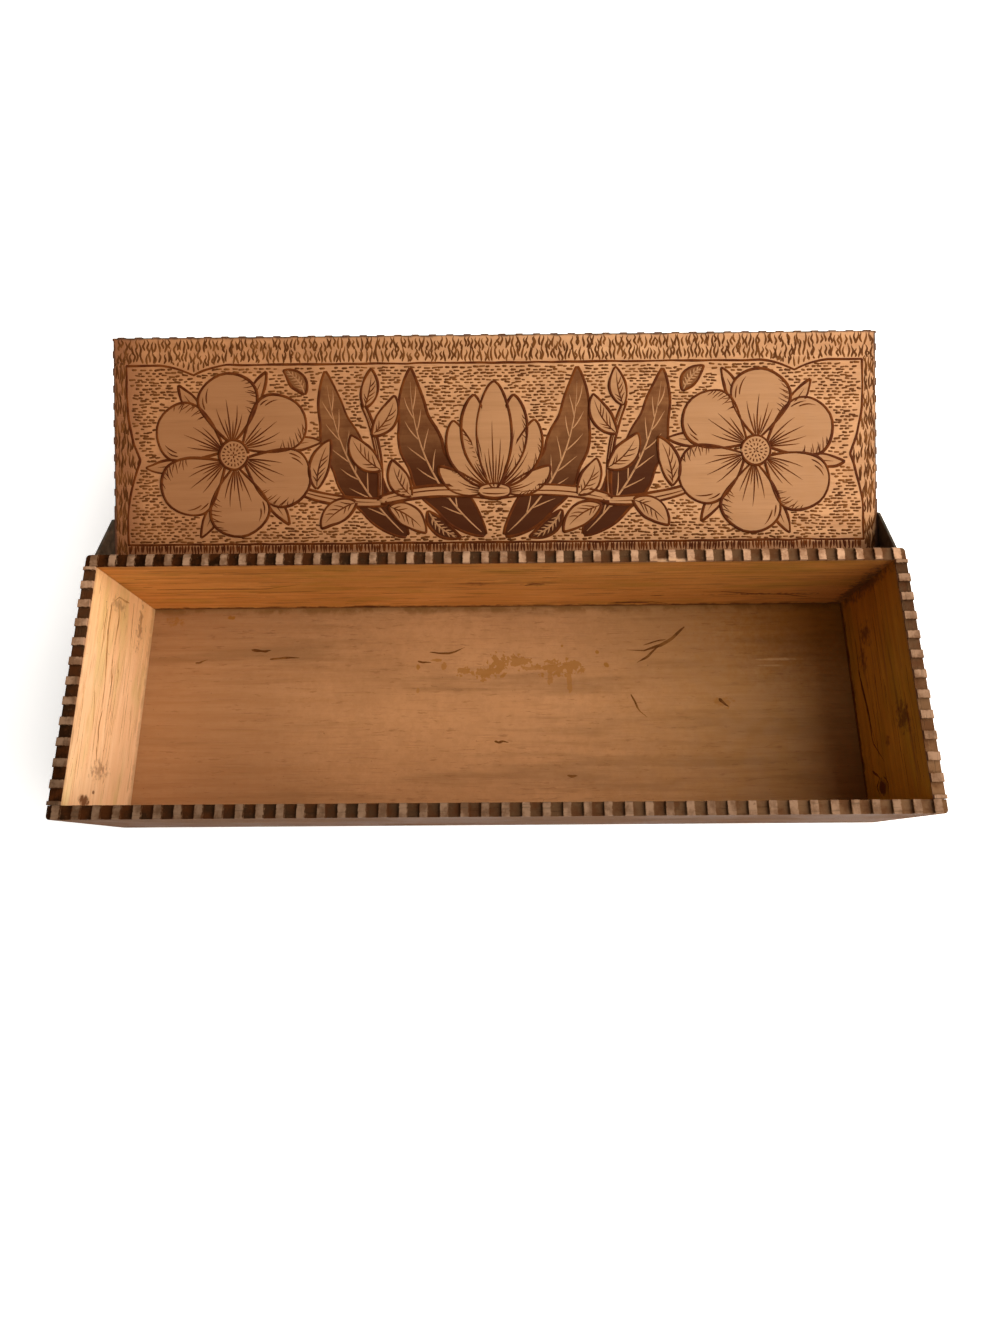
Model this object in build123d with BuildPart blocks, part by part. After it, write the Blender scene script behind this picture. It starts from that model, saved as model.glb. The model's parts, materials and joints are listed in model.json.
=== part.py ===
from build123d import *
from math import asin, atan2, degrees, hypot
import os

os.makedirs("parts", exist_ok=True)

# A long, low box for neckties, in millimetres. X runs along it, Y to its hinged back, Z up.
# The origin is the centre of the underside. The lid is drawn thrown back, as it rests when open.

# Box
length = 330.0
width = 101.5
height = 76.0
side_thickness = 5.0
end_thickness = 4.8
bottom_thickness = 5.0
corner_round = 1.5
joint_gap = 0.15
hinge_edge_bevel = 1.0

# Notched edges: square notches across the rims of the four boards and round the lid
notch_pitch = 7.5
notch_width = 4.4
rim_notch_depth = 1.3
lid_notch_depth = 0.4

# Lid
lid_thickness = 5.0
lid_overhang = 1.0
lid_gap = 0.35
lid_corner_round = 1.0
stop_gap = 0.3

# Pivot ears: sheet-metal fins on the lid's ends that hang it on two nails
ear_thickness = 1.2
ear_length = 24.5
ear_toe = 8.5
ear_reach = 4.2
ear_edge_margin = 0.6
ear_heel_round = 3.6
ear_toe_round = 4.0
ear_corner_round = 1.2
ear_side_gap = 0.3
ear_head_gap = 0.2
pivot_drop = 16.0

# Pivot nails
nail_radius = 0.8
nail_length = 18.0
nail_head_radius = 2.2
nail_head_height = 0.9
nail_head_bevel = 0.45
point_taper = 20.0
pivot_running_gap = 0.06

# Brads
brad_radius = 0.55
brad_length = 14.0
brad_head_radius = 1.0
brad_head_height = 0.4
brad_set_depth = 0.2
brad_sides = 10
brad_edge_inset = 11.0
corner_brad_count = 3
bottom_brad_pitch = 75.0
ear_brad_length = 9.0
ear_brad_inset = 5.5
driven_gap = 0.03

# What follows from the sizes above
wall_height = height - bottom_thickness
wall_middle = bottom_thickness + wall_height / 2
inner_width = width - 2 * side_thickness
side_y = width / 2 - side_thickness / 2
end_x = length / 2 - end_thickness / 2
pivot_y = side_y
pivot_z = height - pivot_drop
lid_length = length + 2 * ear_side_gap
lid_width = width + 2 * lid_overhang

# The long edges start and end with half a notch, the short ones with half a tooth
long_notch_count = round(length / notch_pitch) + 1
end_notch_count = round(inner_width / notch_pitch)
end_notch_step = inner_width / end_notch_count

# Seen from the pivot, with the lid shut: its back edge and its underside
lid_back = width / 2 - pivot_y + lid_overhang
lid_face = pivot_drop + lid_gap

# The open lid stops where its back edge meets the back board: its underside edge swings on a
# circle round the pivot, and lies one stop gap behind the board at this angle from shut
edge_radius = hypot(lid_back, lid_face)
wall_reach = width / 2 - pivot_y + stop_gap
lean = degrees(atan2(lid_back, lid_face) + asin(wall_reach / edge_radius))
open_angle = 180 - lean
lid_place = Location((0, pivot_y, pivot_z), (-open_angle, 0, 0))
print(f"pivot y {pivot_y:.3f} z {pivot_z:.3f}, lid opens {open_angle:.3f} degrees")


def on_lid(plane):
    # A plane drawn as if the lid were shut, with the pivot as its origin, carried to the open lid
    return Plane(lid_place * plane.location)


def save(piece, name):
    piece.part.label = name
    export_step(piece.part, f"parts/{name}.step")


def faceted(radius):
    # Small brads are drawn with a few flats round the wire
    RegularPolygon(radius, brad_sides)


# A nail: a head, a shank and a short point, seated on the underside of its head
def make_nail(section, shank_radius, shank_length, head_radius, head_height, head_bevel):
    point_length = 2 * shank_radius
    with BuildPart() as nail:
        with BuildSketch():
            section(head_radius)
        extrude(amount=head_height)
        if head_bevel:
            chamfer(nail.faces().sort_by(Axis.Z)[-1].edges(), head_bevel)
        with BuildSketch():
            section(shank_radius)
        extrude(amount=point_length - shank_length)
        with BuildSketch(Plane.XY.offset(point_length - shank_length)):
            section(shank_radius)
        extrude(amount=-point_length, taper=point_taper)
    return nail.part


# The hole that a brad fills, up to the wood's surface over its sunk head
def make_bore(shank_radius, shank_length, head_radius, sunk):
    with BuildPart() as bore:
        with BuildSketch():
            faceted(shank_radius)
        extrude(amount=-shank_length)
        with BuildSketch():
            faceted(head_radius)
        extrude(amount=sunk)
    return bore.part


head_sunk = brad_set_depth + brad_head_height
brad = make_nail(faceted, brad_radius, brad_length, brad_head_radius, brad_head_height, 0)
ear_brad = make_nail(faceted, brad_radius, ear_brad_length, brad_head_radius, brad_head_height, 0)
pivot_nail = make_nail(
    Circle, nail_radius, nail_length, nail_head_radius, nail_head_height, nail_head_bevel
)
bore_radius = brad_radius + driven_gap
brad_bore = make_bore(bore_radius, brad_length + driven_gap, brad_head_radius + driven_gap, head_sunk)
ear_brad_bore = make_bore(bore_radius, ear_brad_length + driven_gap, brad_head_radius, driven_gap)


def seats(plane, places, sunk):
    # Where the undersides of the heads lie when a row of nails is driven through a face
    return [plane.offset(-sunk).location * Location((x, y, 0)) for x, y in places]


# Corner brads go through the long boards into the ends of the end boards
brad_span = wall_height - 2 * brad_edge_inset
brad_heights = [brad_span * (i / (corner_brad_count - 1) - 0.5) for i in range(corner_brad_count)]
corner_places = [(x, z) for x in (-end_x, end_x) for z in brad_heights]
front_face = Plane(origin=(0, -width / 2, wall_middle), x_dir=(1, 0, 0), z_dir=(0, -1, 0))
rear_face = Plane(origin=(0, width / 2, wall_middle), x_dir=(1, 0, 0), z_dir=(0, 1, 0))

# Bottom brads come up through the bottom into the long boards
bottom_run = length - 2 * (end_thickness + brad_edge_inset)
bottom_brad_count = max(2, round(bottom_run / bottom_brad_pitch) + 1)
bottom_brad_step = bottom_run / (bottom_brad_count - 1)
bottom_places = [
    (bottom_brad_step * i - bottom_run / 2, y)
    for y in (-side_y, side_y)
    for i in range(bottom_brad_count)
]
underside = Plane(origin=(0, 0, 0), x_dir=(1, 0, 0), z_dir=(0, 0, -1))
front_seats = seats(front_face, corner_places, head_sunk)
rear_seats = seats(rear_face, corner_places, head_sunk)
bottom_seats = seats(underside, bottom_places, head_sunk)

# Bottom board, nailed on under the four walls
with BuildPart() as bottom_board:
    with BuildSketch():
        RectangleRounded(length, width, corner_round)
    extrude(amount=bottom_thickness)
    with Locations(*bottom_seats):
        add(brad_bore, mode=Mode.SUBTRACT)
save(bottom_board, "bottom_board")

# Front and back boards run the whole length and close over the end boards
for name, corner_seats, outward in (("front_board", front_seats, -1), ("rear_board", rear_seats, 1)):
    with BuildPart() as side_board:
        with BuildSketch(Plane((0, outward * side_y, bottom_thickness))) as plan:
            Rectangle(length, side_thickness)
            fillet(plan.vertices().group_by(Axis.Y)[-1 if outward > 0 else 0], corner_round)
        extrude(amount=wall_height)
        if outward > 0:
            # The back board's outer top edge is taken off, so that the lid rolls past it
            top_edges = side_board.faces().sort_by(Axis.Z)[-1].edges().filter_by(Axis.X)
            chamfer(top_edges.sort_by(Axis.Y)[-1], hinge_edge_bevel)
        with BuildSketch(Plane((0, outward * side_y, height))):
            with GridLocations(length / (long_notch_count - 1), 0, long_notch_count, 1):
                Rectangle(notch_width, 2 * side_thickness)
        extrude(amount=-rim_notch_depth, mode=Mode.SUBTRACT)
        with Locations(*corner_seats, *bottom_seats):
            add(brad_bore, mode=Mode.SUBTRACT)
        if outward > 0:
            # Blind holes in its ends for the two pivot nails
            for end in (-1, 1):
                entry = (end * length / 2, pivot_y, pivot_z)
                with BuildSketch(Plane(entry, x_dir=(0, 1, 0), z_dir=(end, 0, 0))):
                    Circle(nail_radius + driven_gap)
                extrude(amount=-nail_length, mode=Mode.SUBTRACT)
    save(side_board, name)

# End boards, held between the long boards
for name, end in (("left_end_board", -1), ("right_end_board", 1)):
    with BuildPart() as end_board:
        with BuildSketch(Plane((end * end_x, 0, bottom_thickness))):
            Rectangle(end_thickness, inner_width - 2 * joint_gap)
        extrude(amount=wall_height)
        with BuildSketch(Plane((end * end_x, 0, height))):
            with GridLocations(0, end_notch_step, 1, end_notch_count):
                Rectangle(2 * end_thickness, notch_width)
        extrude(amount=-rim_notch_depth, mode=Mode.SUBTRACT)
        with Locations(*front_seats, *rear_seats):
            add(brad_bore, mode=Mode.SUBTRACT)
    save(end_board, name)

# Brads of the box
with BuildPart() as front_corner_brads:
    with Locations(*front_seats):
        add(brad)
save(front_corner_brads, "front_corner_brads")

with BuildPart() as rear_corner_brads:
    with Locations(*rear_seats):
        add(brad)
save(rear_corner_brads, "rear_corner_brads")

with BuildPart() as bottom_brads:
    with Locations(*bottom_seats):
        add(brad)
save(bottom_brads, "bottom_brads")

# Lid board: its underside shows when it is thrown back. Its ends stay plain under the ears.
lid_centre = lid_back - lid_width / 2
plain_end = ear_length + notch_width
notched_run = lid_width - plain_end
lid_end_notch_count = round(notched_run / notch_pitch)
lid_end_notch_step = notched_run / lid_end_notch_count


def ear_brad_seats(end):
    # Two brads through the ear's outer face into the middle of the lid's thickness
    outer_x = end * (lid_length / 2 + ear_thickness)
    outer = on_lid(Plane((outer_x, 0, 0), x_dir=(0, 1, 0), z_dir=(end, 0, 0)))
    middle = end * (lid_face + lid_thickness / 2)
    near_places = [(lid_back - ear_brad_inset, middle), (lid_back - ear_length + ear_brad_inset, middle)]
    return seats(outer, near_places, 0)


with BuildPart() as lid_board:
    with BuildSketch(on_lid(Plane((0, lid_centre, lid_face)))):
        RectangleRounded(lid_length, lid_width, lid_corner_round)
    extrude(amount=lid_thickness)
    with BuildSketch(on_lid(Plane((0, lid_centre, lid_face)))):
        with GridLocations(lid_length / (long_notch_count - 1), lid_width, long_notch_count, 2):
            Rectangle(notch_width, 2 * lid_notch_depth)
    extrude(amount=lid_thickness, mode=Mode.SUBTRACT)
    with BuildSketch(on_lid(Plane((0, lid_centre - plain_end / 2, lid_face)))):
        with GridLocations(lid_length, lid_end_notch_step, 2, lid_end_notch_count):
            Rectangle(2 * lid_notch_depth, notch_width)
    extrude(amount=lid_thickness, mode=Mode.SUBTRACT)
    with Locations(*ear_brad_seats(-1), *ear_brad_seats(1)):
        add(ear_brad_bore, mode=Mode.SUBTRACT)
save(lid_board, "lid_board")

# Pivot ears: a fin that lies along the lid's end and reaches past the pivot nail
ear_top = lid_face + lid_thickness - ear_edge_margin
ear_rounds = (ear_corner_round, ear_heel_round, ear_toe_round, ear_corner_round, ear_corner_round)
for name, end in (("left_pivot_ear", -1), ("right_pivot_ear", 1)):
    with BuildPart() as pivot_ear:
        lid_end = Plane((end * lid_length / 2, 0, 0), x_dir=(0, 1, 0), z_dir=(1, 0, 0))
        with BuildSketch(on_lid(lid_end)):
            with BuildLine():
                FilletPolyline(
                    (lid_back, ear_top),
                    (lid_back, -ear_reach),
                    (lid_back - ear_toe, -ear_reach),
                    (lid_back - ear_length, lid_face),
                    (lid_back - ear_length, ear_top),
                    radius=ear_rounds,
                    close=True,
                )
            make_face()
            Circle(nail_radius + pivot_running_gap, mode=Mode.SUBTRACT)
        extrude(amount=end * ear_thickness)
        with Locations(*ear_brad_seats(end)):
            add(ear_brad_bore, mode=Mode.SUBTRACT)
    save(pivot_ear, name)

# Ear brads and pivot nails are driven in from the ends, heads outward
for name, end in (("left_ear_brads", -1), ("right_ear_brads", 1)):
    with BuildPart() as ear_brads:
        with Locations(*ear_brad_seats(end)):
            add(ear_brad)
    save(ear_brads, name)

head_x = lid_length / 2 + ear_thickness + ear_head_gap
for name, end in (("left_pivot_nail", -1), ("right_pivot_nail", 1)):
    with BuildPart() as hinge_nail:
        with Locations(Plane((end * head_x, pivot_y, pivot_z), x_dir=(0, 1, 0), z_dir=(end, 0, 0))):
            add(pivot_nail)
    save(hinge_nail, name)
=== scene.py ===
# %% [markdown]
# # A tie box with a pen-burned lid, standing open
# The box is a long shallow case of thin softwood boards. Its rims are notched all round, its lid swings on
# two nails through thin metal ears, and the face that shows when the lid is open is covered in pen-burned
# drawing. The sizes, the joint and the main solids come from the CAD model. This lesson adds what a maker's
# hands, heat and years of use add: worn corners, scorched notches, grain, stains, and some 3,500 burned
# strokes.

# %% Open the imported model
import json
import math
from functools import partialmethod

import bpy
import numpy as np
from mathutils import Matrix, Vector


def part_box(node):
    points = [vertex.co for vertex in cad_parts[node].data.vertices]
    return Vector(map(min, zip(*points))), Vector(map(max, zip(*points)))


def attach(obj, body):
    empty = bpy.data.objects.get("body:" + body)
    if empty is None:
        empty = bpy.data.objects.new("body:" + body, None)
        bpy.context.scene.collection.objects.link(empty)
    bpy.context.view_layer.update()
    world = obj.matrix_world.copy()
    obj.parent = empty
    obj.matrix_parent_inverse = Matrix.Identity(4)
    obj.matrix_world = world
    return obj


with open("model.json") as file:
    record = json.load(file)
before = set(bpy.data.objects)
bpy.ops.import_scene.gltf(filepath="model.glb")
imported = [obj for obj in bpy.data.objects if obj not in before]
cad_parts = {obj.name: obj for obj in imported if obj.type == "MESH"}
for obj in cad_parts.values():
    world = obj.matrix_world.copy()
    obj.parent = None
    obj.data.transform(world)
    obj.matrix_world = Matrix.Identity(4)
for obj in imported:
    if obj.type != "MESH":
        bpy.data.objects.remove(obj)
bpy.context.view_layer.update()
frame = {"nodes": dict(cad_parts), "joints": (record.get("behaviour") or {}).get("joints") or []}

MM = 0.001
print("nodes", sorted(frame["nodes"]))

# %% [markdown]
# ## The viewpoint
# The photograph looks down into the open box from a little in front of it. A camera can be placed by eye,
# or worked back from the corners of the box in the picture. The second way was used, because the sizes of
# the boards are known.

# %% Set up the camera
PICTURE_HEIGHT = 1333
FOCAL_PIXELS = 968.4
AXIS_ROW = 488
SENSOR = 36.0
CAMERA_PLACE = (0.005235, -0.068087, 0.447572)
CAMERA_TURN = (21.411, 0.569, -0.3618)

lens = bpy.data.cameras.new("viewpoint")
lens.sensor_width = SENSOR
lens.lens = FOCAL_PIXELS / PICTURE_HEIGHT * SENSOR
lens.shift_y = -(PICTURE_HEIGHT / 2 - AXIS_ROW) / PICTURE_HEIGHT
lens.clip_start = 10 * MM
camera = bpy.data.objects.new("viewpoint", lens)
camera.location = CAMERA_PLACE
camera.rotation_euler = [math.radians(a) for a in CAMERA_TURN]
bpy.context.scene.collection.objects.link(camera)
bpy.context.scene.camera = camera
print("lens", round(lens.lens, 2), "mm, shift", round(lens.shift_y, 4))

# %% [markdown]
# ## Building with nodes
# Every finish below is a small tree of nodes. Wired one by one they would fill pages, so a node's output is
# wrapped as a value that can stand in a formula: a plus or a times adds the Math node that does it. A
# colour is built as a painter would, in coats over a ground.

# %% Values and formulas
def feed(socket, value):
    """Links a value to the socket, or sets plain numbers as its own. A colour gets its fourth number here."""
    if isinstance(value, Value):
        value.tree.links.new(value.socket, socket)
    elif value is not None:
        socket.default_value = (*value, 1) if socket.type == "RGBA" and len(value) == 3 else value


def add_node(tree, kind, values=(), **settings):
    """Adds a node with these settings, feeds its inputs by order or by name, and gives its outputs."""
    node = tree.nodes.new("ShaderNode" + kind)
    for name, setting in settings.items():
        setattr(node, name, setting)
    for key, value in values.items() if isinstance(values, dict) else enumerate(values):
        feed(node.inputs[key], value)
    return {key: Value(tree, socket) for i, socket in enumerate(node.outputs) for key in (i, socket.name)}


class Value:
    """One output of a node, used as a number in a formula: each sign in the formula adds a Math node."""

    def __init__(self, tree, socket):
        """Keeps the output and the tree that it belongs to."""
        self.tree, self.socket = tree, socket

    def work_out(self, operation, *others):
        """One Math node: the operation on this value and the others, in that order."""
        return add_node(self.tree, "Math", (self, *others), operation=operation)[0]

    __add__ = partialmethod(work_out, "ADD")
    __sub__ = partialmethod(work_out, "SUBTRACT")
    __mul__ = partialmethod(work_out, "MULTIPLY")
    __truediv__ = partialmethod(work_out, "DIVIDE")
    __abs__ = partialmethod(work_out, "ABSOLUTE")

    def __rsub__(self, number):
        """A plain number less this value."""
        return add_node(self.tree, "Math", (number, self), operation="SUBTRACT")[0]


def tree_of(values):
    """The tree that the first value among plain numbers belongs to."""
    return next(v.tree for v in values if isinstance(v, Value))


print("a value can take + - * / and abs")


# %% Fades, coats and noise
def fade(value, low, high, to_low=0.0, to_high=1.0):
    """A smooth rise from to_low at low to to_high at high, flat outside."""
    values = (value, low, high, to_low, to_high)
    return add_node(value.tree, "MapRange", values, interpolation_type="SMOOTHSTEP")[0]


def coats(ground, *layers):
    """Lays coats on a ground colour in turn. Each is (amount 0 to 1, colour) and may add a way of mixing. A
    coat with no amount is left out."""
    for amount, colour, *kind in layers:
        if amount is not None:
            values = {0: amount, 6: ground, 7: colour}
            kind = kind[0] if kind else "MIX"
            ground = add_node(tree_of(values.values()), "Mix", values, data_type="RGBA", blend_type=kind)[2]
    return ground


def move(place, at=(0, 0, 0), turn=(0, 0, 0), scale=(1, 1, 1)):
    """One Mapping node, which scales, then turns, then shifts the coordinates."""
    values = {"Vector": place, "Location": at, "Rotation": turn, "Scale": scale}
    return add_node(place.tree, "Mapping", values)[0]


def cloud(place, scale, detail=3.0, roughness=0.55, seed=None):
    """A noise value of about 0.3 to 0.7, in lumps of 1/scale metres. Three numbers as the scale stretch the
    lumps, and a seed draws another noise."""
    if isinstance(scale, tuple):
        place, scale = move(place, scale=scale), 1.0
    values = {"Vector": place, "Scale": scale, "Detail": detail, "Roughness": roughness}
    if seed is not None:
        values["W"] = seed
    return add_node(place.tree, "TexNoise", values, noise_dimensions="3D" if seed is None else "4D")[0]


def parts(place):
    """The x, y and z of a place."""
    found = add_node(place.tree, "SeparateXYZ", (place,))
    return found["X"], found["Y"], found["Z"]


print("fade, coats, move, cloud and parts are ready")

# %% Groups and finishes
SOCKETS = {1: "NodeSocketFloat", 3: "NodeSocketVector", 4: "NodeSocketColor"}


def new_group(title, takes, gives):
    """A shader node group with named sockets: takes maps each input to its start value (a colour has four
    numbers, a place three), gives lists the outputs, which are plain numbers except the one named Colour."""
    tree = bpy.data.node_groups.new(title, "ShaderNodeTree")
    for name, start in takes.items():
        socket = tree.interface.new_socket(name, in_out="INPUT", socket_type=SOCKETS[np.size(start)])
        socket.default_value = start
    for name in gives:
        tree.interface.new_socket(name, in_out="OUTPUT", socket_type=SOCKETS[4 if name == "Colour" else 1])
    inputs = tree.nodes.new("NodeGroupInput").outputs
    return {socket.name: Value(tree, socket) for socket in inputs}, tree.nodes.new("NodeGroupOutput").inputs


def use_group(title, **values):
    """Places a group where its values are, and feeds its inputs by name: an underscore stands for a space."""
    named = {name.replace("_", " "): value for name, value in values.items()}
    return add_node(tree_of(values.values()), "Group", named, node_tree=bpy.data.node_groups[title])


def new_finish(name, specular):
    """An empty material: gives it with its Principled shader and the object coordinates."""
    material = bpy.data.materials.new(name)
    material.use_nodes = True
    shader = material.node_tree.nodes["Principled BSDF"]
    shader.inputs["Specular IOR Level"].default_value = specular
    return material, shader, add_node(material.node_tree, "TexCoord")["Object"]


def lay_on(shader, colour, roughness, height=None, depth=0.0, strength=1.0):
    """Feeds colour and roughness to the shader. A height of 0 to 1 raises the surface by depth metres."""
    feed(shader.inputs["Base Color"], colour)
    feed(shader.inputs["Roughness"], roughness)
    if height is not None:
        bump = add_node(colour.tree, "Bump", {"Strength": strength, "Distance": depth, "Height": height})
        feed(shader.inputs["Normal"], bump["Normal"])


print("groups can have", ", ".join(SOCKETS.values()))

# %% [markdown]
# ## The light
# The left end board glows and the right one lies in shade, so the light comes from the right and above. A
# bare lamp would draw hard shadows, and a lit sky alone would draw none. One large soft lamp at the right
# gives the slope of brightness across the lid, a faint one high in front lifts the rims, and a pale
# surrounding keeps the shaded corners warm. The surrounding gives little light, but it is drawn bright
# where it is seen directly, so that the backdrop stays pale.

# %% Hang the lamps
SURROUND_LIGHT, SURROUND_SEEN = 0.16, 0.78


def soft_lamp(name, place, target, size, power, colour):
    """A square lamp of the given size in metres, at place, facing target."""
    data = bpy.data.lights.new(name, "AREA")
    data.shape, data.size, data.energy, data.color = "SQUARE", size, power, colour
    lamp = bpy.data.objects.new(name, data)
    x, y, z = np.subtract(place, target)
    lamp.location = place
    lamp.rotation_euler = (math.atan2(math.hypot(x, y), z), 0, math.atan2(x, -y))
    bpy.context.scene.collection.objects.link(lamp)


soft_lamp("key_lamp", (0.88, 0.08, 0.80), (-0.05, 0.02, 0.04), 1.6, 35, (1.0, 0.95, 0.88))
soft_lamp("top_lamp", (-0.1, -0.7, 1.3), (0, 0.02, 0.04), 1.0, 3, (1.0, 0.97, 0.93))

surround = bpy.data.worlds.new("pale_surround")
surround.use_nodes = True
backdrop = surround.node_tree.nodes["Background"]
feed(backdrop.inputs["Color"], (1.0, 0.985, 0.96))
seen = add_node(surround.node_tree, "LightPath")["Is Camera Ray"]
feed(backdrop.inputs["Strength"], seen * SURROUND_SEEN + SURROUND_LIGHT)
bpy.context.scene.world = surround
bpy.context.scene.view_settings.view_transform = "Standard"
print("lamps", [(lamp.name, lamp.energy) for lamp in bpy.data.lights])

# %% [markdown]
# ## Wood grain
# Thin softwood boards show long streaks along the grain, wider bands where the saw crossed the year rings,
# and short dark pores. A picture of wood would be simplest, but it would slide at the corners and repeat.
# Noise that is stretched along the board gives each board its own grain through its whole thickness, and
# because every board needs it, it is a group with a seed.

# %% Build the grain group
take, give = new_group(
    "sawn grain", {"Place": (0, 0, 0), "Seed": 0.0, "Wander": 1.0}, ("Streaks", "Bands", "Pores")
)
sway = cloud(take["Place"], (9, 30, 30), 2.0, seed=take["Seed"]) * take["Wander"]
shift = add_node(sway.tree, "CombineXYZ", {"Y": sway * 0.006, "Z": sway * 0.004})[0]
bent = add_node(sway.tree, "VectorMath", (take["Place"], shift), operation="ADD")[0]
streaks = cloud(bent, (14, 330, 330), 6.0, 0.68, take["Seed"])
rings = (cloud(bent, (3.2, 34, 34), 1.5, 0.5, take["Seed"]) * 58.0).work_out("SINE")
pores = cloud(bent, (70, 1700, 1700), 2.0, 0.5, take["Seed"])
feed(give["Streaks"], fade(streaks, 0.30, 0.66))
feed(give["Bands"], fade(rings, -0.4, 1.0))
feed(give["Pores"], fade(pores, 0.57, 0.70))
print("grain group has", len(sway.tree.nodes), "nodes")


def grain_of(place, seed, wander=1.0):
    """A board's own grain, which runs along the x of place."""
    return use_group("sawn grain", Place=place, Seed=seed, Wander=wander)


# %% [markdown]
# ## Scorched notches
# The notches were pressed or filed into the edges and burned dark, while the teeth between them were rubbed
# pale by hands. Each notch could be painted as its own shape, but all of them follow one pitch, so one
# group works out how far a point is from the middle of its notch, wobbles that a little, and fades the burn
# out just below the floor of the notch.

# %% Build the scorch group
NOTCH_WIDTH = 4.4 * MM
WOBBLE = 1.1 * MM

take, give = new_group(
    "scorched notches",
    {"Place": (0, 0, 0), **dict.fromkeys(("Along", "Pitch", "Notch", "Shift", "Depth in", "Reach"), 0.0)},
    ("Scorch",),
)
steps = (take["Along"] + take["Shift"]) / take["Pitch"]
off_middle = abs(steps - steps.work_out("ROUND")) * take["Pitch"]
wobble = cloud(take["Place"], 900.0) * WOBBLE - WOBBLE / 2
half = take["Notch"] * 0.5
in_notch = fade(off_middle + wobble, half - 0.1 * MM, half + 0.35 * MM, 1.0, 0.0)
near_edge = fade(take["Depth in"] + wobble, take["Reach"], take["Reach"] * 1.35, 1.0, 0.0)
feed(give["Scorch"], in_notch * near_edge)
print("scorch group has", len(half.tree.nodes), "nodes")


def scorch_of(place, along, pitch, shift, depth_in, reach):
    """The burn in a row of notches along an edge, where depth_in, the way in from it, is less than reach."""
    return use_group("scorched notches", Place=place, Along=along, Pitch=pitch, Notch=NOTCH_WIDTH,
                     Shift=shift, Depth_in=depth_in, Reach=reach)["Scorch"]


# %% [markdown]
# ## Age and stains
# Old bare wood darkens in soft patches and picks up specks. A knot, a smudge or a spill is one soft ragged
# spot at a known place. Both effects turn up on several boards, so each is a group: one for patches,
# specks, grime and drag marks all over, one for a single blot.

# %% Build the age group and the blot group
take, give = new_group("age", {"Place": (0, 0, 0), "Seed": 0.0}, ("Patches", "Specks", "Grime", "Drags"))
for name, scale, detail, roughness, low, high in (
    ("Patches", 16.0, 3.0, 0.60, 0.36, 0.66),
    ("Specks", 820.0, 2.0, 0.50, 0.69, 0.76),
    ("Grime", 130.0, 4.0, 0.65, 0.40, 0.62),
    ("Drags", (26, 26, 210), 4.0, 0.60, 0.56, 0.70),
):
    feed(give[name], fade(cloud(take["Place"], scale, detail, roughness, take["Seed"]), low, high))


def age_of(place, seed):
    """Patches, specks, grime and drag marks of one board."""
    return use_group("age", Place=place, Seed=seed)


take, give = new_group(
    "blot",
    {"Place": (0, 0, 0), "Centre": (0, 0, 0), "Size": (0, 0, 0), "Ragged": 0.0, "Soft": 0.0},
    ("Blot",),
)
blot_tree = take["Place"].tree
away = add_node(blot_tree, "VectorMath", (take["Place"], take["Centre"]), operation="SUBTRACT")[0]
scaled = add_node(blot_tree, "VectorMath", (away, take["Size"]), operation="DIVIDE")[0]
radius = add_node(blot_tree, "VectorMath", (scaled,), operation="LENGTH")["Value"]
rag = (cloud(take["Place"], 420.0, 4.0, 0.6) - 0.5) * (take["Ragged"] * 6.0)
feed(give["Blot"], fade(radius + rag, 1.0 - take["Soft"], 1.0, 1.0, 0.0))
print("groups so far:", [group.name for group in bpy.data.node_groups])

# %% [markdown]
# ## Flat maps of the boards
# A stain or a scratch is measured flat on its board: u along it, v up or across it, and lift off its face.
# Each face gets one map from these three to the frame, which serves the stains here and the cut marks
# later.

# %% Lay out the inside of the box
RIM, FLOOR_TOP = 76 * MM, 5 * MM
INNER_X, INNER_Y = 160.2 * MM, 45.75 * MM
X, Y, Z = np.eye(3)


def on_board(corner, along, up, out):
    """The map of one face. Place = corner + u times along + v times up + lift times out."""
    corner, along, up, out = np.array([corner, along, up, out], float)

    def lay(u, v, lift):
        """Numbers or arrays of one shape. The place gets three numbers on a last axis of its own."""
        u, v, lift = (np.asarray(a, float)[..., None] for a in (u, v, lift))
        return corner + u * along + v * up + lift * out

    return lay


on_floor = on_board((0, 0, FLOOR_TOP), X, Y, Z)
on_rear_wall = on_board((0, INNER_Y, 0), X, Z, -Y)
on_left_wall = on_board((-INNER_X, 0, 0), Y, Z, X)
on_right_wall = on_board((INNER_X, 0, 0), -Y, Z, -X)


def stains(place, rows, lay, into=50.0):
    """The strongest of several blots at each point, or None for no rows. A row is u, v, half width and half
    height in mm, then how ragged, soft and strong the blot is. It may end with its own reach into the wood in
    mm."""
    total = None
    for u, v, half_u, half_v, ragged, soft, strong, *own in rows:
        size = np.abs(lay(half_u * MM, half_v * MM, (own or [into])[0] * MM) - lay(0, 0, 0))
        blot = use_group("blot", Place=place, Centre=tuple(lay(u * MM, v * MM, 0)), Size=tuple(size),
                         Ragged=ragged, Soft=soft)["Blot"] * strong
        total = blot if total is None else total.work_out("MAXIMUM", blot)
    return total


print("the left wall's face is at x =", round(on_left_wall(0, 0, 0)[0] / MM, 2), "mm")

# %% [markdown]
# ## The outside of the wood
# Outside, the boards went grey-brown: hands, dust and light dulled them and left the grain as darker
# streaks. The walls, the lid's back and the edges of the floor board all show it, so it is a group as well,
# which lays the grain's streaks and bands and some dirt over the stained brown.

# %% Build the weathered wood group
OUTSIDE_PALE, OUTSIDE_DEEP, OUTSIDE_DIRT = (0.19, 0.086, 0.036), (0.11, 0.046, 0.018), (0.10, 0.05, 0.025)

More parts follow.
